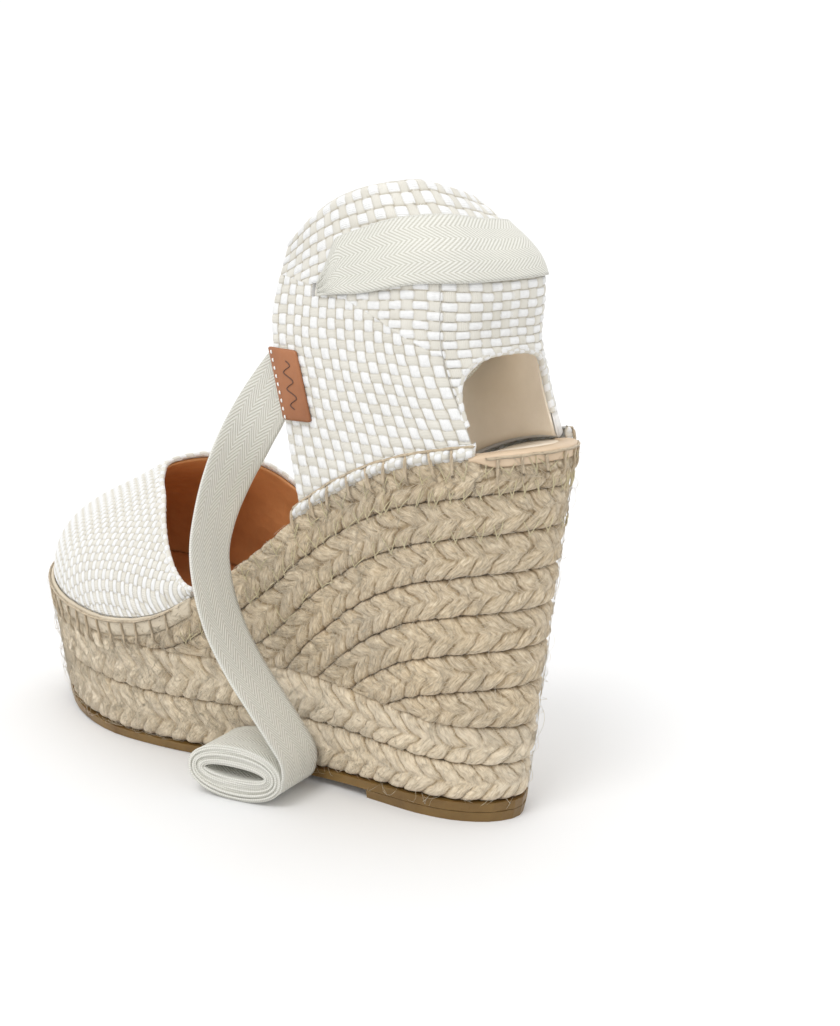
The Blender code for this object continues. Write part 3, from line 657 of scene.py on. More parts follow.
def make_plaits():
    seam = at_y(SEAM_Y, -1)
    middle = lambda t: (base_z(t) + platform_z(t)) / 2
    plait("plait_platform_1", seam + 0.0006, seam + 0.9994, base_z, middle,
          "platform_braid_1", no_tuck, 11)
    plait("plait_platform_2", seam + 0.0006, seam + 0.9994, middle, platform_z,
          "platform_braid_2", no_tuck, 12)
    plait("plait_edge", at_y(52, 1), at_y(52, -1), lambda t: row_z(t, 1), edge_top,
          "edge_braid", edge_tuck, 13)
    grid = np.linspace(0.08, 0.92, 1600)
    for k in range(1, 7):
        room = row_z(grid, k) - platform_z(grid)
        inside = grid[(room > -1.5) & (abs(grid - 0.5) < 0.43)]
        if k == 6:
            bottom = lambda t: np.minimum(platform_z(t), row_z(t, 7))
        else:
            bottom = lambda t, k=k: row_z(t, k + 1)
        plait("plait_fan_%d" % k, inside[0], inside[-1], bottom, lambda t, k=k: row_z(t, k),
              "fan_braid_%d" % k, fan_tuck, 20 + k)


def wall_walk(t, z, head, length, curl, lift, steps=7):
    """Short curved paths lying on the wall, arched away from it by lift; one per entry."""
    s, pts = t_to_arc(t), []
    for i in range(steps):
        s = s + np.cos(head) * length / (steps - 1)
        z = z + np.sin(head) * length / (steps - 1)
        head = head + curl * length / (steps - 1)
        tt = arc_to_t(s)
        zz = np.clip(z, 4.0, edge_z(tt) - 0.6)
        pts.append(wall(tt, zz, 0.12 - lift * math.sin(math.pi * i / (steps - 1))))
    return np.stack(pts, axis=1)


def make_fuzz(count=FUZZ_COUNT):
    """Loose jute fibres lying on the plaits and standing off them."""
    t = RNG.uniform(0, 1, count)
    z = base_z(t) + 1 + RNG.uniform(0, 1, count) * (edge_z(t) - base_z(t) - 2)
    stray = RNG.uniform(0, 1, count) < 0.13
    pick = lambda a, b: np.where(stray, RNG.uniform(*a, count), RNG.uniform(*b, count))
    paths = wall_walk(t, z, RNG.uniform(-1.1, 1.1, count) + math.pi * RNG.integers(0, 2, count),
                      pick((4, 14), (2, 6.5)), RNG.normal(0, 0.15, count),
                      pick((0.5, 2.4), (0.02, 0.35)))
    radius = np.repeat(pick((0.03, 0.05), (0.04, 0.085))[:, None], paths.shape[1], axis=1)
    v, f, uv = tubes(paths, radius, 4)
    mesh_object("jute_fibres", v, f, MAT["fuzz"], uv)


def make_link_stitches():
    """Thin straw coloured threads that tie neighbouring plaits together."""
    paths = []
    for k, a, b, gap in ((1, 0.20, 0.80, 0.0075), (2, 0.30, 0.70, 0.013), (0.45, 0.30, 0.70, 0.012)):
        t = np.arange(a, b, gap)
        t = t + RNG.uniform(-0.3, 0.3, len(t)) * gap
        t = t[row_z(t, k) > platform_z(t) + 5]
        for head in (1.1, 2.0):
            h = head + RNG.normal(0, 0.22, len(t))
            size = RNG.uniform(4.5, 7.5, len(t))
            paths.append(wall_walk(t - 0.004 * np.cos(h), row_z(t, k) - size * 0.45 * np.sin(h), h,
                                   size, RNG.normal(0, 0.04, len(t)),
                                   RNG.uniform(0.3, 0.6, len(t))))
    v, f, uv = tubes(np.concatenate(paths), 0.17, 5)
    mesh_object("link_stitches", v, f, MAT["straw"], uv)


# ---------------------------------------------------------------- woven cloth

# Yarn spacing of the cloth, (along a, along b) of weave_height.
SIDE_CELL, BACK_CELL, TOE_CELL = (3.45, 2.95), (3.5, 3.9), (2.6, 1.8)
PUFF_CELL, ROLL_CELL = (2.3, 2.2), (2.6, 2.4)
CUFF_HIGH = 92.0            # length of the cuff from foot to rim
SLIT_LOW, SLIT_HIGH = (18, 156.6, 156.2), (38, 158.2, 160.2)


def weave_height(a, b, cell_a, cell_b):
    """Basket weave over flat coordinates: yarns along b float over yarns along a.

    Returns height 0..1, white yarn mask and place across the yarn."""
    i, j = np.floor(a / cell_a), np.floor(b / cell_b)
    fa, fb = a / cell_a - i - 0.5, b / cell_b - j - 0.5
    over = (np.mod(i + j, 2) == 0)
    up_a = np.sqrt(np.clip(1 - (fa / 0.44) ** 2, 0, 1))
    up_b = np.cos(np.clip(fb / 0.66, -1, 1) * math.pi / 2) ** 0.7
    first = up_a * (0.30 + 0.70 * up_b)
    vb = np.sqrt(np.clip(1 - (fb / 0.46) ** 2, 0, 1))
    va = np.cos(np.clip(fa / 0.62, -1, 1) * math.pi / 2) ** 0.7
    second = vb * (0.15 + 0.62 * va)
    under_first = up_a * 0.30
    high = np.where(over, np.maximum(first, vb * 0.12), np.maximum(second, under_first))
    white = np.where(over, first > vb * 0.12, under_first > second)
    across = np.where(white, fa, fb)
    return high, white.astype(float), across


def weave_colour(white, high, place):
    """Vertex colours that the woven material reads; a low height gets painted shade."""
    return np.stack([white, np.clip(high, 0, 1), place + 0.5], -1).reshape(-1, 3)


def cloth(name, outer, inner, colour, nodes):
    """Solid cloth between two grids; its inner face is plain."""
    verts, faces = shell(outer, inner)
    colour = np.concatenate([colour, np.tile((1.0, 0.8, 0.5), (len(colour), 1))])
    return mesh_object(name, verts, faces, MAT["woven"], colour=colour, nodes=nodes)


def soft_noise(a, b, scale, seed):
    """Smooth pseudo noise from a few sines, so it is the same on each run."""
    r = np.random.default_rng(seed)
    out = np.zeros_like(a)
    for _ in range(7):
        d = r.normal(0, 1, 2) / scale
        out += np.sin(a * d[0] * 6.28 + b * d[1] * 6.28 + r.uniform(0, 6.28))
    return out / 7


# Half of the cuff at four heights, front edge to middle of the back.
CUFF_LEVELS = [
    [(33.9, 154.5, 0), (33.1, 170, 0), (31.0, 188, 0), (25.4, 206, 0), (15.5, 217.5, 0),
     (0, 223.5, 0)],
    [(31.5, 141.5, 141), (31.5, 160, 142), (30.5, 180, 142.5), (27, 196, 142.5),
     (17, 206, 142.5), (0, 208.8, 142.5)],
    [(28.5, 140, 157), (28.2, 156, 162.5), (27.5, 176, 168), (25.3, 193, 169.5),
     (17.5, 202.3, 169), (0, 205, 168)],
    [(26.3, 144, 172), (25.5, 152, 179.3), (24, 162, 185.3), (20, 174.5, 189.2),
     (11.5, 183, 190.4), (0, 186.5, 187.8)],
]
LEVEL_V = np.array([0.0, 0.42, 0.78, 1.0])
MEDIAL_TRIM = (0.10, 0.06, 0.03, 0.0)       # the inner side is this much narrower, per level
RIM_DROP = [(0, 0), (0.2, 1.5), (0.4, 3.5), (0.6, 5.4), (0.8, 4.8), (1, 0)]   # inner side only
CUT_HALF, CUT_TOP = 0.142, 0.40             # heel opening: half width in u, top in v


def cuff_levels(u):
    """Level points for many u; shape (4, len(u), 3)."""
    u = np.atleast_1d(np.asarray(u, float))
    side = np.where(u <= 0.5, 1.0, -1.0)
    w = np.where(u <= 0.5, 2 * u, 2 * (1 - u))
    out = []
    for i, level in enumerate(CUFF_LEVELS):
        p = spline(level, w)
        if i == 0:
            p[:, 2] = table(EDGE, p[:, 1] + 2.4) + 0.45
        trim = 1 - MEDIAL_TRIM[i] * smoothstep(0, 0.5, 1 - w)
        p[:, 0] *= side * np.where(side > 0, 1.0, trim)
        p[:, 2] -= table(RIM_DROP, w) * (side < 0) * (i == 3)
        out.append(p)
    return np.array(out)


def cuff_points(u, v):
    """Cuff surface for arrays u, v of one shape."""
    u, v = np.broadcast_arrays(np.asarray(u, float), np.asarray(v, float))
    flat_u, flat_v = u.ravel(), np.clip(v.ravel(), 0, 1)
    lev = cuff_levels(flat_u)
    m = np.gradient(lev, LEVEL_V, axis=0)
    i = np.clip(np.searchsorted(LEVEL_V, flat_v, side="right") - 1, 0, 2)
    k = np.arange(len(flat_u))
    h = (LEVEL_V[i + 1] - LEVEL_V[i])[:, None]
    q = (flat_v - LEVEL_V[i])[:, None] / h
    return between(q, h, lev[i, k], m[i, k], lev[i + 1, k], m[i + 1, k]).reshape(u.shape + (3,))


def cuff_normals(u, v):
    e = 3e-3
    u, v = np.broadcast_arrays(np.clip(u, e, 1 - e), np.clip(v, e, 1 - e))
    n = np.cross(cuff_points(u + e, v) - cuff_points(u - e, v),
                 cuff_points(u, v + e) - cuff_points(u, v - e))
    return n / np.linalg.norm(n, axis=-1)[..., None]


def cuff_stations(count_side, count_arch, margin=0.0, squeeze=1.0):
    """(u, v0) pairs, dense where the arch is steep."""
    side = [(u, 0.0) for u in np.linspace(margin, 0.5 - CUT_HALF * squeeze, count_side)]
    arch = []
    for a in np.linspace(-86, 86, count_arch):
        s, c = math.sin(math.radians(a)), math.cos(math.radians(a))
        arch.append((0.5 + math.copysign(abs(s) ** 0.75, s) * CUT_HALF * 0.992 * squeeze,
                     CUT_TOP * squeeze * c ** 0.55))
    return np.array(side + arch + [(1 - u, v) for u, v in reversed(side)])


def cuff_patch(st, k):
    """The cuff from each station up to the rim, at shares k of the way."""
    u, v = np.broadcast_arrays(st[:, :1], st[:, 1:] + (1 - st[:, 1:]) * k)
    return u, v, cuff_points(u, v), cuff_normals(u, v)


def make_cuff():
    """Woven cloth of the cuff, with its lining, edges and puffs."""
    st, k = cuff_stations(300, 250), np.linspace(0, 1, 260)
    u, v, p, n = cuff_patch(st, k)
    ref_u = np.linspace(0, 1, 600)
    ref = cuff_points(ref_u, np.full(600, 0.45))
    ref_s = run_length(ref)
    a = np.interp(u, ref_u, ref_s) - ref_s[-1] / 2
    from_rim = (1 - v) * CUFF_HIGH
    warp = soft_noise(a, p[..., 2], 60, 3) * 0.8
    side_h, side_w, side_x = weave_height(a + warp, p[..., 2] + warp * 0.6, *SIDE_CELL)
    back_h, back_w, back_x = weave_height(from_rim + warp, a + warp * 0.7, *BACK_CELL)
    # The two directions of the cloth meet on a line that slants down from the front edge.
    fold = np.minimum(u, 1 - u)
    side_mask = (v < 0.86 - fold / 0.36 * 0.46) & (fold < 0.36)
    high = np.where(side_mask, side_h, back_h)
    white = np.where(side_mask, side_w, back_w)
    across = np.where(side_mask, side_x, back_x)
    edge = np.minimum(np.minimum(k * (1 - st[:, 1:]) * CUFF_HIGH, (1 - k) * CUFF_HIGH), fold * 330)
    roll = 1 - smoothstep(0.0, 2.2, edge)
    lift = 0.15 + 0.75 * high * (1 - 0.55 * roll) - 0.75 * roll ** 2
    lift += 0.35 * soft_noise(a, from_rim, 34, 5)
    outer = p + n * lift[..., None]
    inner = p - n * (FABRIC * (1 - 0.25 * roll))[..., None]
    # Adding roll gives the rolled edges less painted shade.
    cut_slots(cloth("cuff_cloth", outer, inner, weave_colour(white, high + 0.15 * roll, across),
                    ("cuff_outer",)))
    make_cuff_lining()
    make_cut_binding()
    make_puffs()


def make_cuff_lining():
    first = FABRIC + 0.30
    _, _, p, n = cuff_patch(cuff_stations(60, 60, 0.003, 1.015), np.linspace(0.01, 0.992, 40))
    verts, faces = shell(p - n * first, p - n * (first + LINING))
    cut_slots(mesh_object("cuff_inside", verts, faces, MAT["beige"],
                          nodes=("cuff_lining",)))


def quarter_spans():
    """Where the cuff is sewn to the sole, between the heel opening and its front edges."""
    back = heel_span(QUARTER_HALF)
    return (("outer", at_y(QUARTER_Y, 1), back[0]), ("inner", back[1], at_y(QUARTER_Y, -1)))


def make_puffs():
    """Cloth edge pulled into small puffs between the stitches at the foot of the cuff."""
    for name, a, b in quarter_spans():
        n = 420
        u = np.linspace(0, 1, n)
        t = a + (b - a) * u
        e = edge_z(t)
        bulge = abs(np.sin(math.pi * u * QUARTER_LEGS)) ** 0.6
        ends = smoothstep(0, 0.012, np.minimum(u, 1 - u)) ** 0.5
        rows = []
        for k in np.linspace(0, 1, 22):
            z = e + 3.4 - 4.6 * k
            swell = (1.0 + 1.5 * bulge) * ends - 0.8 * (1 - ends)
            inset = 2.4 - swell * math.sin(math.pi * min(k * 1.1, 1)) ** 0.7
            rows.append(wall(t, z, inset - 0.8 * k))
        rows.append(wall(t, e - 1.2, 2.6))
        grid = np.stack(rows, axis=1)
        run = run_length(grid[:, 5])
        across = np.linspace(0, 6.5, grid.shape[1])[None] + 0 * run[:, None]
        high, white, place = weave_height(run[:, None] + 0 * across, across, *PUFF_CELL)
        nrm = grid_normals(grid)
        if nrm[n // 2, 10, 0] * (1 if name == "outer" else -1) < 0:
            nrm = -nrm
        # The raised height gives the puffs less painted shade.
        colour = weave_colour(white, high + 0.2, place)
        verts, faces = shell(grid + nrm * 0.4 * high[..., None], grid - nrm * 0.7)
        mesh_object("cuff_puffs_" + name, verts, faces, MAT["woven"],
                    colour=np.concatenate([colour, colour]))


def cut_slots(ob):
    """Slits for the tape, the same place as in the CAD cloth."""
    for side in (1, -1):
        cube = bpy.data.meshes.new("slit")
        xs, ys, zs = zip(SLIT_LOW, SLIT_HIGH)
        c = [(side * x, y, z) for x in xs for y in ys for z in zs]
        quads = [(0, 1, 3, 2), (4, 6, 7, 5), (0, 4, 5, 1), (2, 3, 7, 6), (0, 2, 6, 4), (1, 5, 7, 3)]
        if side < 0:
            quads = [q[::-1] for q in quads]
        cube.from_pydata([tuple(p) for p in to_frame(c)], [], quads)
        cutter = bpy.data.objects.new("slit", cube)
        bpy.context.scene.collection.objects.link(cutter)
        mod = ob.modifiers.new("slit", "BOOLEAN")
        mod.operation, mod.solver, mod.object = "DIFFERENCE", "EXACT", cutter
        bpy.context.view_layer.update()
        graph = bpy.context.evaluated_depsgraph_get()
        done = bpy.data.meshes.new_from_object(ob.evaluated_get(graph))
        ob.modifiers.clear()
        ob.data = done
        bpy.data.objects.remove(cutter)


def make_cut_binding():
    """Rolled white edge round the heel opening."""
    st = cuff_stations(2, 90)[2:-2]
    p = cuff_points(st[:, 0], st[:, 1] + 0.012)
    n = cuff_normals(st[:, 0], st[:, 1] + 0.012)
    rolled_edge("heel_opening_roll", p - n * 0.75, 1.15)


def rolled_edge(name, path, radius):
    """Cloth wrapped over an edge: a tube with the weave's own bumps and colours."""
    run, sides = run_length(path), 24
    even = np.linspace(0, run[-1], int(run[-1] / 0.3))
    fine = np.stack([np.interp(even, run, path[:, i]) for i in range(3)], 1)
    v, f, uv = tubes([fine], radius, sides)
    along, around = uv[:, 1], uv[:, 0] * 2 * math.pi * radius
    high, white, place = weave_height(along + around * 0.3, around, *ROLL_CELL)
    centre = np.repeat(fine, sides, axis=0)
    v = centre + (v - centre) * (0.86 + 0.24 * high)[:, None]
    # The raised height gives the rolled edge less painted shade.
    mesh_object(name, v, f, MAT["woven"], colour=weave_colour(white, high + 0.2, place))


def toe_grid(n, rows):
    """Toe cap from its margin under the rand up to the throat: points, way in, ends."""
    w = np.linspace(0, 1, n)
    t = np.mod(np.linspace(at_y(RAND_END[0] - 0.5, 1) + 1, at_y(RAND_END[1] - 0.5, -1), n), 1.0)
    throat = spline(THROAT, w)
    e = edge_z(t)
    foot, margin = wall(t, e, 2.15), wall(t, e - 5.2, 2.15)
    end = throat.copy()
    end[:, 2] = np.maximum(end[:, 2], e + 1.6)
    flat = end[:, :2] - foot[:, :2]
    reach = np.linalg.norm(flat, axis=1)[:, None]
    rise = (end[:, 2] - foot[:, 2])[:, None]
    c1 = foot + np.array([0, 0, 1.0]) * rise * 0.56
    c2 = end - np.column_stack([flat * 0.52, reach[:, 0] * 0.3])
    rows_p = [margin, foot - (0, 0, 1.4)]
    for u in np.linspace(0, 1, rows):
        rows_p.append((1 - u) ** 3 * foot + 3 * u * (1 - u) ** 2 * c1
                      + 3 * u * u * (1 - u) * c2 + u ** 3 * end)
    return np.stack(rows_p, axis=1), flat / np.maximum(reach, 1e-6), end


def upward_normals(grid):
    n = grid_normals(grid)
    return n * np.sign(n[grid.shape[0] // 2, grid.shape[1] // 3, 2])


def make_toe_cap():
    s, direction, end = toe_grid(900, 300)
    n = upward_normals(s)
    step = np.linalg.norm(np.diff(s, axis=1), axis=2)
    dist = np.concatenate([np.cumsum(step[:, ::-1], axis=1)[:, ::-1], np.zeros((len(s), 1))], 1)
    flat = end[:, None, :2] - direction[:, None] * dist[..., None]
    a, b = flat[..., 1], flat[..., 0]
    warp = soft_noise(a, b, 50, 9) * 0.7
    high, white, across = weave_height(a + warp, b + warp * 0.5, *TOE_CELL)
    roll = 1 - smoothstep(0.0, 2.0, dist)
    lift = 0.05 + 0.70 * high * (1 - 0.6 * roll) - 0.6 * roll ** 2
    lift *= smoothstep(0.0, 0.02, np.linspace(0, 1, s.shape[1]))[None]
    outer, inner = s + n * lift[..., None], s - n * FABRIC * 0.9
    # Adding roll gives the rolled edge less painted shade.
    cloth("toe_cap_cloth", outer, inner, weave_colour(white, high + 0.1 * roll, across),
          ("toe_cap_outer",))
    edge = (outer[:, -1] + inner[:, -1]) / 2
    rolled_edge("throat_roll", edge[2:-2], 0.95)
    s, _, _ = toe_grid(160, 50)
    n = upward_normals(s)
    first = s - n * (FABRIC + 0.1)
    verts, faces = shell(first[:, 1:-1], (first - n * LINING)[:, 1:-1])
    mesh_object("toe_cap_inside", verts, faces, MAT["brown"],
                nodes=("toe_cap_lining",))


# ---------------------------------------------------------------- sole parts

def strip(name, t, parts, look, node):
    """Closed section, given as (height, inset) points, carried round part of the wall."""
    ring = np.stack([wall(t, z, inset) for z, inset in parts], 1)
    n, m = ring.shape[:2]
    mesh_object(name, ring.reshape(-1, 3), np.concatenate([grid_faces(n, m, True), end_caps(n, m)]),
                MAT[look], nodes=(node,))


def rounded(top, bottom, depth, bulge):
    """Section points of a soft strip: down the back, up the bulging front."""
    h = top - bottom
    back = [(top - h * k, depth) for k in (0.0, 0.33, 0.66, 1.0)]
    front = [(bottom + h * k, bulge * (2 * k - 1) ** 4 - 0.05) for k in
             (0.0, 0.06, 0.14, 0.3, 0.5, 0.7, 0.86, 0.94, 1.0)]
    return back + front


def make_rand():
    t = np.mod(np.linspace(at_y(RAND_END[1], -1), 1 + at_y(RAND_END[0], 1), 260), 1.0)
    e = edge_z(t)
    wave = 0.25 * soft_noise(np.linspace(0, 240, 260), np.zeros(260), 14, 21)
    strip("toe_rand_strip", t, rounded(e - 0.1 + wave, e - RAND_HIGH + wave, RAND_THICK, 0.9),
          "rand", "toe_rand")


def make_heel_strip():
    a, b = heel_span(STRIP_HALF)
    t = np.linspace(a, b, 120)
    e = edge_z(t)
    low = e - STRIP_HIGH * (0.35 + 0.65 * smoothstep(0, 0.016, np.minimum(t - a, b - t)))
    parts = [(e - 1.4, 5.5), (e, 5.5), (e + 0.05, 2.5), (e, 1.0), (e - 0.25, 0.35), (e - 0.8, 0.0),
             (low + 0.5, -0.05), (low, 0.3), (low, 1.4), (e - 1.4, 1.4)]
    strip("heel_strip_leather", t, parts, "tan", "heel_strip")


def stitch_lines(name, a, b, count, drop, inset, path, node, radius, lean, phase=0.5):
    """Blanket stitch: a running thread with legs over the edge, as laid twisted threads."""
    t = np.mod(np.linspace(a, b, count * 8), 1.0)
    wob = 0.25 * soft_noise(np.arange(len(t)) * 1.0, np.zeros(len(t)), 9, 31)
    run = wall(t, edge_z(t) - drop, inset) + np.column_stack([0 * t, 0 * t, wob])
    legs = []
    for i in range(count):
        q = a + (b - a) * (i + phase) / count
        jitter = RNG.normal(0, 0.25) * 0.0012
        steps = np.mod(q + (lean + jitter) * np.arange(len(path)), 1.0)
        down, depth = np.array(path).T
        legs.append(spline(wall(steps, edge_z(steps) - down, depth), np.linspace(0, 1, 12)))
    v, f, uv = tubes([run], radius, 7)
    leg_v, leg_f, leg_uv = tubes(legs, radius * 1.05, 7)
    mesh_object(name, np.concatenate([v, leg_v]), np.concatenate([f, leg_f + len(v)]),
                MAT["thread"], np.concatenate([uv, leg_uv]), nodes=(node,))


def make_stitches():
    stitch_lines("toe_stitches", at_y(98, -1), 1 + at_y(104, 1), 34, 1.1, -0.35,
                 [(0.9, -0.4), (3.5, -0.45), (RAND_HIGH, -0.35), (RAND_HIGH + 2.2, -0.5),
                  (RAND_HIGH + 4.2, 0.4), (RAND_HIGH + 5.0, 1.8)], "toe_stitching",
                 0.42, 0.0006)
    stitch_lines("heel_stitches", *heel_span(21), 7, 0.9, -0.3,
                 [(0.7, -0.35), (STRIP_HIGH, -0.35), (STRIP_HIGH + 2.4, -0.6),
                  (STRIP_HIGH + 4.4, 0.3), (STRIP_HIGH + 5.2, 1.8)], "heel_strip_stitching",
                 0.45, 0.0006)
    for (name, a, b), side in zip(quarter_spans(), ("lateral", "medial")):
        stitch_lines("quarter_stitches_" + name, a, b, QUARTER_LEGS, -3.0, 0.9,
                     [(-3.0, 0.9), (-1.8, 0.3), (-0.4, -0.25), (1.2, -0.5), (3.0, -0.55),
                      (5.2, -0.2), (6.4, 1.2)], side + "_quarter_stitching", 0.5, 0.0008, 0.02)


SOCK_SEAM_Y = 128.0         # brown leather in front of this line, beige behind


def make_sole_looks():
    for node, key in (("outsole", "rubber"), ("heel_lift", "rubber"), ("wedge_core", "cork"),
                      ("insole_board", "cork"), ("insole_foam", "foam")):
        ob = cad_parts[node]
        ob.data.materials.clear()
        ob.data.materials.append(MAT[key])
    t, k = np.linspace(0.010, 0.490, 120), np.linspace(0, 1, 40)
    a, b = (wall(q, edge_z(q) - 1.3, 5.0)[:, None] for q in (t, 1 - t))
    top = a + (b - a) * k[:, None]
    top[..., 2] += 0.9 * abs(2 * k - 1) ** 14
    seam = int(np.argmin(abs(top[:, 0, 1] - SOCK_SEAM_Y)))
    for name, part, look, slot in (
            ("sock_front", top[:seam + 1], "brown", "brown_leather"),
            ("sock_heel", top[seam:] + (0, 0, 0.15), "beige", "beige_lining")):
        verts, faces = shell(part - (0, 0, 1.1), part)
        mesh_object(name, verts, faces, MAT[look], nodes=("sock_lining",))


# ---------------------------------------------------------------- tape

# Tape round the cuff: u, lower edge and upper edge in v.
TAPE_BAND = [(0.10, 0.68, 0.872), (0.2, 0.647, 0.868), (0.33, 0.68, 0.885), (0.5, 0.70, 0.895)]
ACROSS = np.linspace(1, -1, 15)
BAND_START_Y = 158.9


def back_band():
    """Rows of the tape round the back of the cuff, lateral slot to medial slot."""
    us = np.linspace(0.05, 0.25, 400)
    start = us[np.argmin(abs(cuff_points(us, np.full(400, 0.78))[:, 1] - BAND_START_Y))]
    u = np.linspace(start, 1 - start, 240)
    k = np.minimum(u, 1 - u)
    low = table([(a, b) for a, b, _ in TAPE_BAND], k)
    high = table([(a, c) for a, _, c in TAPE_BAND], k)
    high = low + (high - low) * (0.20 + 0.80 * smoothstep(-0.012, 0.062, k - start) ** 0.8)
    mid, half = (low + high) / 2, (high - low) / 2
    v = mid[:, None] + half[:, None] * ACROSS
    uu = np.broadcast_to(u[:, None], v.shape)
    p, n = cuff_points(uu, v), cuff_normals(uu, v)
    near = 1 - smoothstep(0.0, 0.06, k - start)
    lift = 1.35 - 0.5 * (1 - smoothstep(0, 0.006, k - start))[:, None]
    lift = lift + 0.45 * near[:, None] * np.sin(ACROSS * 10)
    lift = lift + 0.25 * soft_noise(u[:, None] * 260 + 0 * v, v * 90, 40, 17)
    return p + n * lift[..., None]


def rows_between(mid, wide, half, count):
    """Rows of the tape along a path, given its middle, crosswise direction and half width."""
    w = np.array(wide, float)
    w /= np.linalg.norm(w, axis=1)[:, None]
    m, h = np.array(mid, float), np.array(half, float)
    t = np.linspace(0, 1, count)
    left, right = spline(m + w * h[:, None], t), spline(m - w * h[:, None], t)
    k = (1 - ACROSS) / 2
    return left[:, None] * (1 - k[None, :, None]) + right[:, None] * k[None, :, None]


def fall_rows():
    """Lateral end: inside the slot, out past the front edge, down to the roll."""
    mid = [(26.4, 157.4, 159.6), (24.4, 157.2, 159.4), (23.4, 153, 155), (25.2, 147, 143),
           (28.3, 141, 130), (33, 134.5, 117), (39, 130, 103), (45, 129, 89), (49, 130.5, 78),
           (50, 132.8, 68.5), (48.6, 136, 56), (45.5, 141.8, 42.5), (42.8, 148.6, 32),
           (39.6, 153.6, 22.5), (36.6, 156.0, 14.5), (35.8, 155.6, 9.2)]
    wide = [(0, 0.05, 1), (-0.2, 0.25, 1), (-0.2, 0.3, 1), (-0.12, 0.1, 1), (0, -0.34, 0.94),
            (0.35, -0.25, 0.9), (0.72, 0.0, 0.62), (0.9, 0.15, 0.4), (0.95, 0.22, 0.18),
            (0.967, 0.254, 0.05)] + [(0.967, 0.254, 0)] * 6
    half = [3.2, 3.8, 8.4] + [10.0] * 13
    return rows_between(mid, wide, half, 170)


def inside_rows():
    """Medial end: in through its slot, a loose loop, then down to the small roll."""
    mid = [(-26.4, 157.4, 159.6), (-24.2, 158.4, 159.8), (-22.4, 166, 158.5), (-22.2, 173, 149),
           (-21.5, 175, 139), (-19.5, 172, 130), (-14.5, 167, 122.5), (-8, 161.5, 117.5),
           (-2.0, 157.0, 113.8), (0.6, 155.2, 110.2)]
    wide = [(0, 0.05, 1), (0, -0.1, 1), (0.0, 0.5, 1), (0.05, 1, 0.5), (0.2, 1, 0.15),
            (0.5, 0.9, 0.1), (0.62, 0.8, 0.3), (0.8, 0.6, 0.4), (0.95, 0.3, 0.2), (1, 0, 0)]
    half = [3.2, 3.8, 8.5] + [10.0] * 7
    return rows_between(mid, wide, half, 120)


def spiral_rows(centre, axis, long_dir, up, outer, inner, turns, start, spin=1):
    """Wound tape from its outer end inwards."""
    n = int(turns * 44)
    q = np.linspace(0, 1, n)
    ang = start + spin * q * turns * 2 * math.pi
    ra = outer[0] + (inner[0] - outer[0]) * q
    rb = outer[1] + (inner[1] - outer[1]) * q
    c, s = np.cos(ang), np.sin(ang)
    mid = (centre + (np.sign(c) * abs(c) ** 0.92 * ra)[:, None] * long_dir
           + (np.sign(s) * abs(s) ** 0.92 * rb)[:, None] * up)
    slip = 0.35 * np.interp(q, np.linspace(0, 1, 30), np.random.default_rng(5).normal(0, 1, 30))
    offset = ACROSS[None] * TAPE_WIDE / 2 + slip[:, None]
    return mid[:, None] + offset[..., None] * axis


def tape_object(name, rows, nodes):
    """Thin solid tape from rows of points, with UV in tape width and millimetres."""
    d = np.gradient(rows, axis=0)
    w = np.gradient(rows, axis=1)
    n = np.cross(d, w)
    n /= np.maximum(np.linalg.norm(n, axis=2), 1e-9)[..., None]
    half = TAPE_HALF_THICK * (1 + 0.5 * smoothstep(0.88, 0.97, abs(ACROSS))[:, None])
    verts, faces = shell(rows + n * half, rows - n * half)
    run = run_length(rows[:, len(ACROSS) // 2])
    uv = np.stack(np.broadcast_arrays((1 - ACROSS)[None] / 2, run[:, None]), -1).reshape(-1, 2)
    ob = mesh_object(name, verts, faces, MAT["tape"], np.concatenate([uv, uv]),
                     nodes=nodes)


def make_tape():
    tape_object("tape_back", back_band(), ("ribbon_back",))
    axis = np.array((0.967, 0.254, 0.0))
    long_dir = np.array((-0.254, 0.967, 0.0))
    roll = spiral_rows(np.array((40.4, 138.2, 9.0)), axis, long_dir, np.array((0, 0, 1.0)),
                       (17.4, 8.75), (11.0, 1.9), 10.5, 0.0, -1)
    tape_object("tape_outer_end", np.concatenate([fall_rows()[:-1], roll]),
                ("ribbon_lateral_fall", "ribbon_lateral_roll"))
    tilt = 0.62
    lie = np.array((0.0, math.cos(tilt), math.sin(tilt)))
    up = np.array((0.0, -math.sin(tilt), math.cos(tilt)))
    small = spiral_rows(np.array((9.0, 167.2, 107.4)), np.array((1.0, 0, 0)), -lie, up,
                        (13.8, 7.1), (7.5, 1.1), 8.5, 0.0, -1)
    tape_object("tape_inner_end", np.concatenate([inside_rows()[:-4], small]),
                ("ribbon_medial_fall", "ribbon_medial_roll"))


# ---------------------------------------------------------------- label

LABEL = [(32.4, 140.4, 140.6), (32.4, 153.0, 140.2), (33.7, 160.6, 119.5), (33.7, 148.2, 119.2)]


def label_point(w, v, lift=0.0):
    a, b, c, d = np.array(LABEL)
    p = (a + (b - a) * w) * (1 - v) + (d + (c - d) * w) * v
    bend = -1.6 * (2 * w - 1) ** 2 * (w < 0.5)
    return p + np.array((0.995, 0.0, 0.06)) * (lift + 0.9 + bend * 0.4)


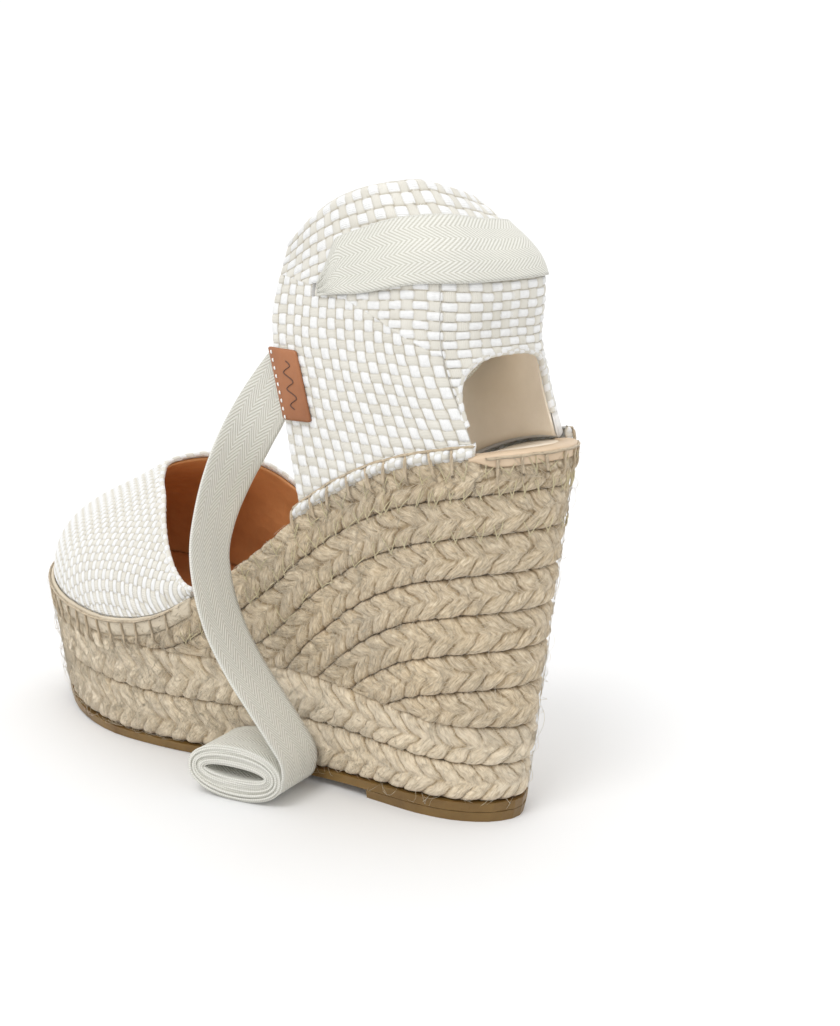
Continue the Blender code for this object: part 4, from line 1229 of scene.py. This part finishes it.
def make_label():
    """Blank leather tab with white stitches and a plain pressed wave."""
    corner = 0.06
    front, back = [], []
    for w in np.linspace(0, 1, 24):
        cut = corner * max(0.0, 1 - min(w, 1 - w) / corner) * 0.5
        v = np.linspace(cut, 1 - cut, 34)
        front.append([label_point(w, x, 0.35 - 0.35 * max(0, 1 - min(x, 1 - x, w, 1 - w) * 18))
                      for x in v])
        back.append([label_point(w, x, -0.75) for x in v])
    verts, faces = shell(np.array(front), np.array(back))
    mesh_object("side_tab", verts, faces, MAT["label"], nodes=("side_label",))
    dashes = []
    for v in np.linspace(0.04, 0.93, 9):
        dashes.append([label_point(0.16, v + k * 0.055, 0.42 + 0.12 * math.sin(k * math.pi))
                       for k in np.linspace(0, 1, 6)])
    v, f, uv = tubes(dashes, 0.28, 6)
    mesh_object("side_tab_stitches", v, f, MAT["white"], uv)
    wave = [[label_point(0.60 + 0.13 * math.sin(k * 6.283 * 3.0), 0.16 + 0.68 * k, 0.30)
             for k in np.linspace(0, 1, 90)]]
    v, f, uv = tubes(wave, 0.34, 6, 0.5)
    mesh_object("side_tab_mark", v, f, MAT["stamp"], uv)


# ---------------------------------------------------------------- stage

def make_stage():
    bpy.ops.mesh.primitive_plane_add(size=160, location=(0, 0, 0))
    floor = bpy.context.active_object
    floor.name = "studio_floor"
    mat, _, sh = node_material("studio_floor")
    put(sh, Base_Color=(0.76, 0.76, 0.76, 1), Emission_Color=(1, 1, 1, 1),
        Emission_Strength=0.03, Roughness=0.9)
    floor.data.materials.append(mat)
    world = bpy.data.worlds.new("studio")
    bpy.context.scene.world = world
    world.use_nodes = True
    put(world.node_tree.nodes["Background"], Color=(1, 1, 1, 1), Strength=1.05)
    for name, toward, angle, power in (("key", (0.65, 0.15, 1.0), 25, 1.02),
                                       ("top", (-0.2, -0.3, 1.0), 50, 0.38)):
        light = bpy.data.lights.new(name, "SUN")
        light.energy, light.angle = power, math.radians(angle)
        ob = bpy.data.objects.new(name, light)
        ob.rotation_euler = (-Vector(toward)).to_track_quat("-Z", "Y").to_euler()
        bpy.context.scene.collection.objects.link(ob)
    bpy.context.scene.view_settings.view_transform = "Standard"
    bpy.context.scene.view_settings.look = "None"


def make_camera():
    """From behind on the outer side, slightly above, as the object was looked at."""
    azimuth, elevation, distance = math.radians(133), math.radians(11.3), 0.5667
    target = Vector((-0.0509, 0.0024, 0.0802))
    back = Vector((math.sin(azimuth) * math.cos(elevation),
                   -math.cos(azimuth) * math.cos(elevation), math.sin(elevation)))
    right = Vector((math.cos(azimuth), math.sin(azimuth), 0))
    up = back.cross(right)
    data = bpy.data.cameras.new("camera")
    data.sensor_fit, data.sensor_height, data.sensor_width = "VERTICAL", 36.0, 36.0
    data.lens = 55.5
    data.shift_x, data.shift_y = 0.026, -0.021
    data.clip_start, data.clip_end = 0.05, 50
    cam = bpy.data.objects.new("camera", data)
    rot = Matrix((right, up, back)).transposed()
    cam.matrix_world = Matrix.Translation(target + back * distance) @ rot.to_4x4()
    bpy.context.scene.collection.objects.link(cam)
    bpy.context.scene.camera = cam


make_camera()
make_stage()
make_tape()
make_plaits()
make_fuzz()
make_link_stitches()
make_cuff()
make_toe_cap()
make_rand()
make_heel_strip()
make_stitches()
make_sole_looks()
make_label()
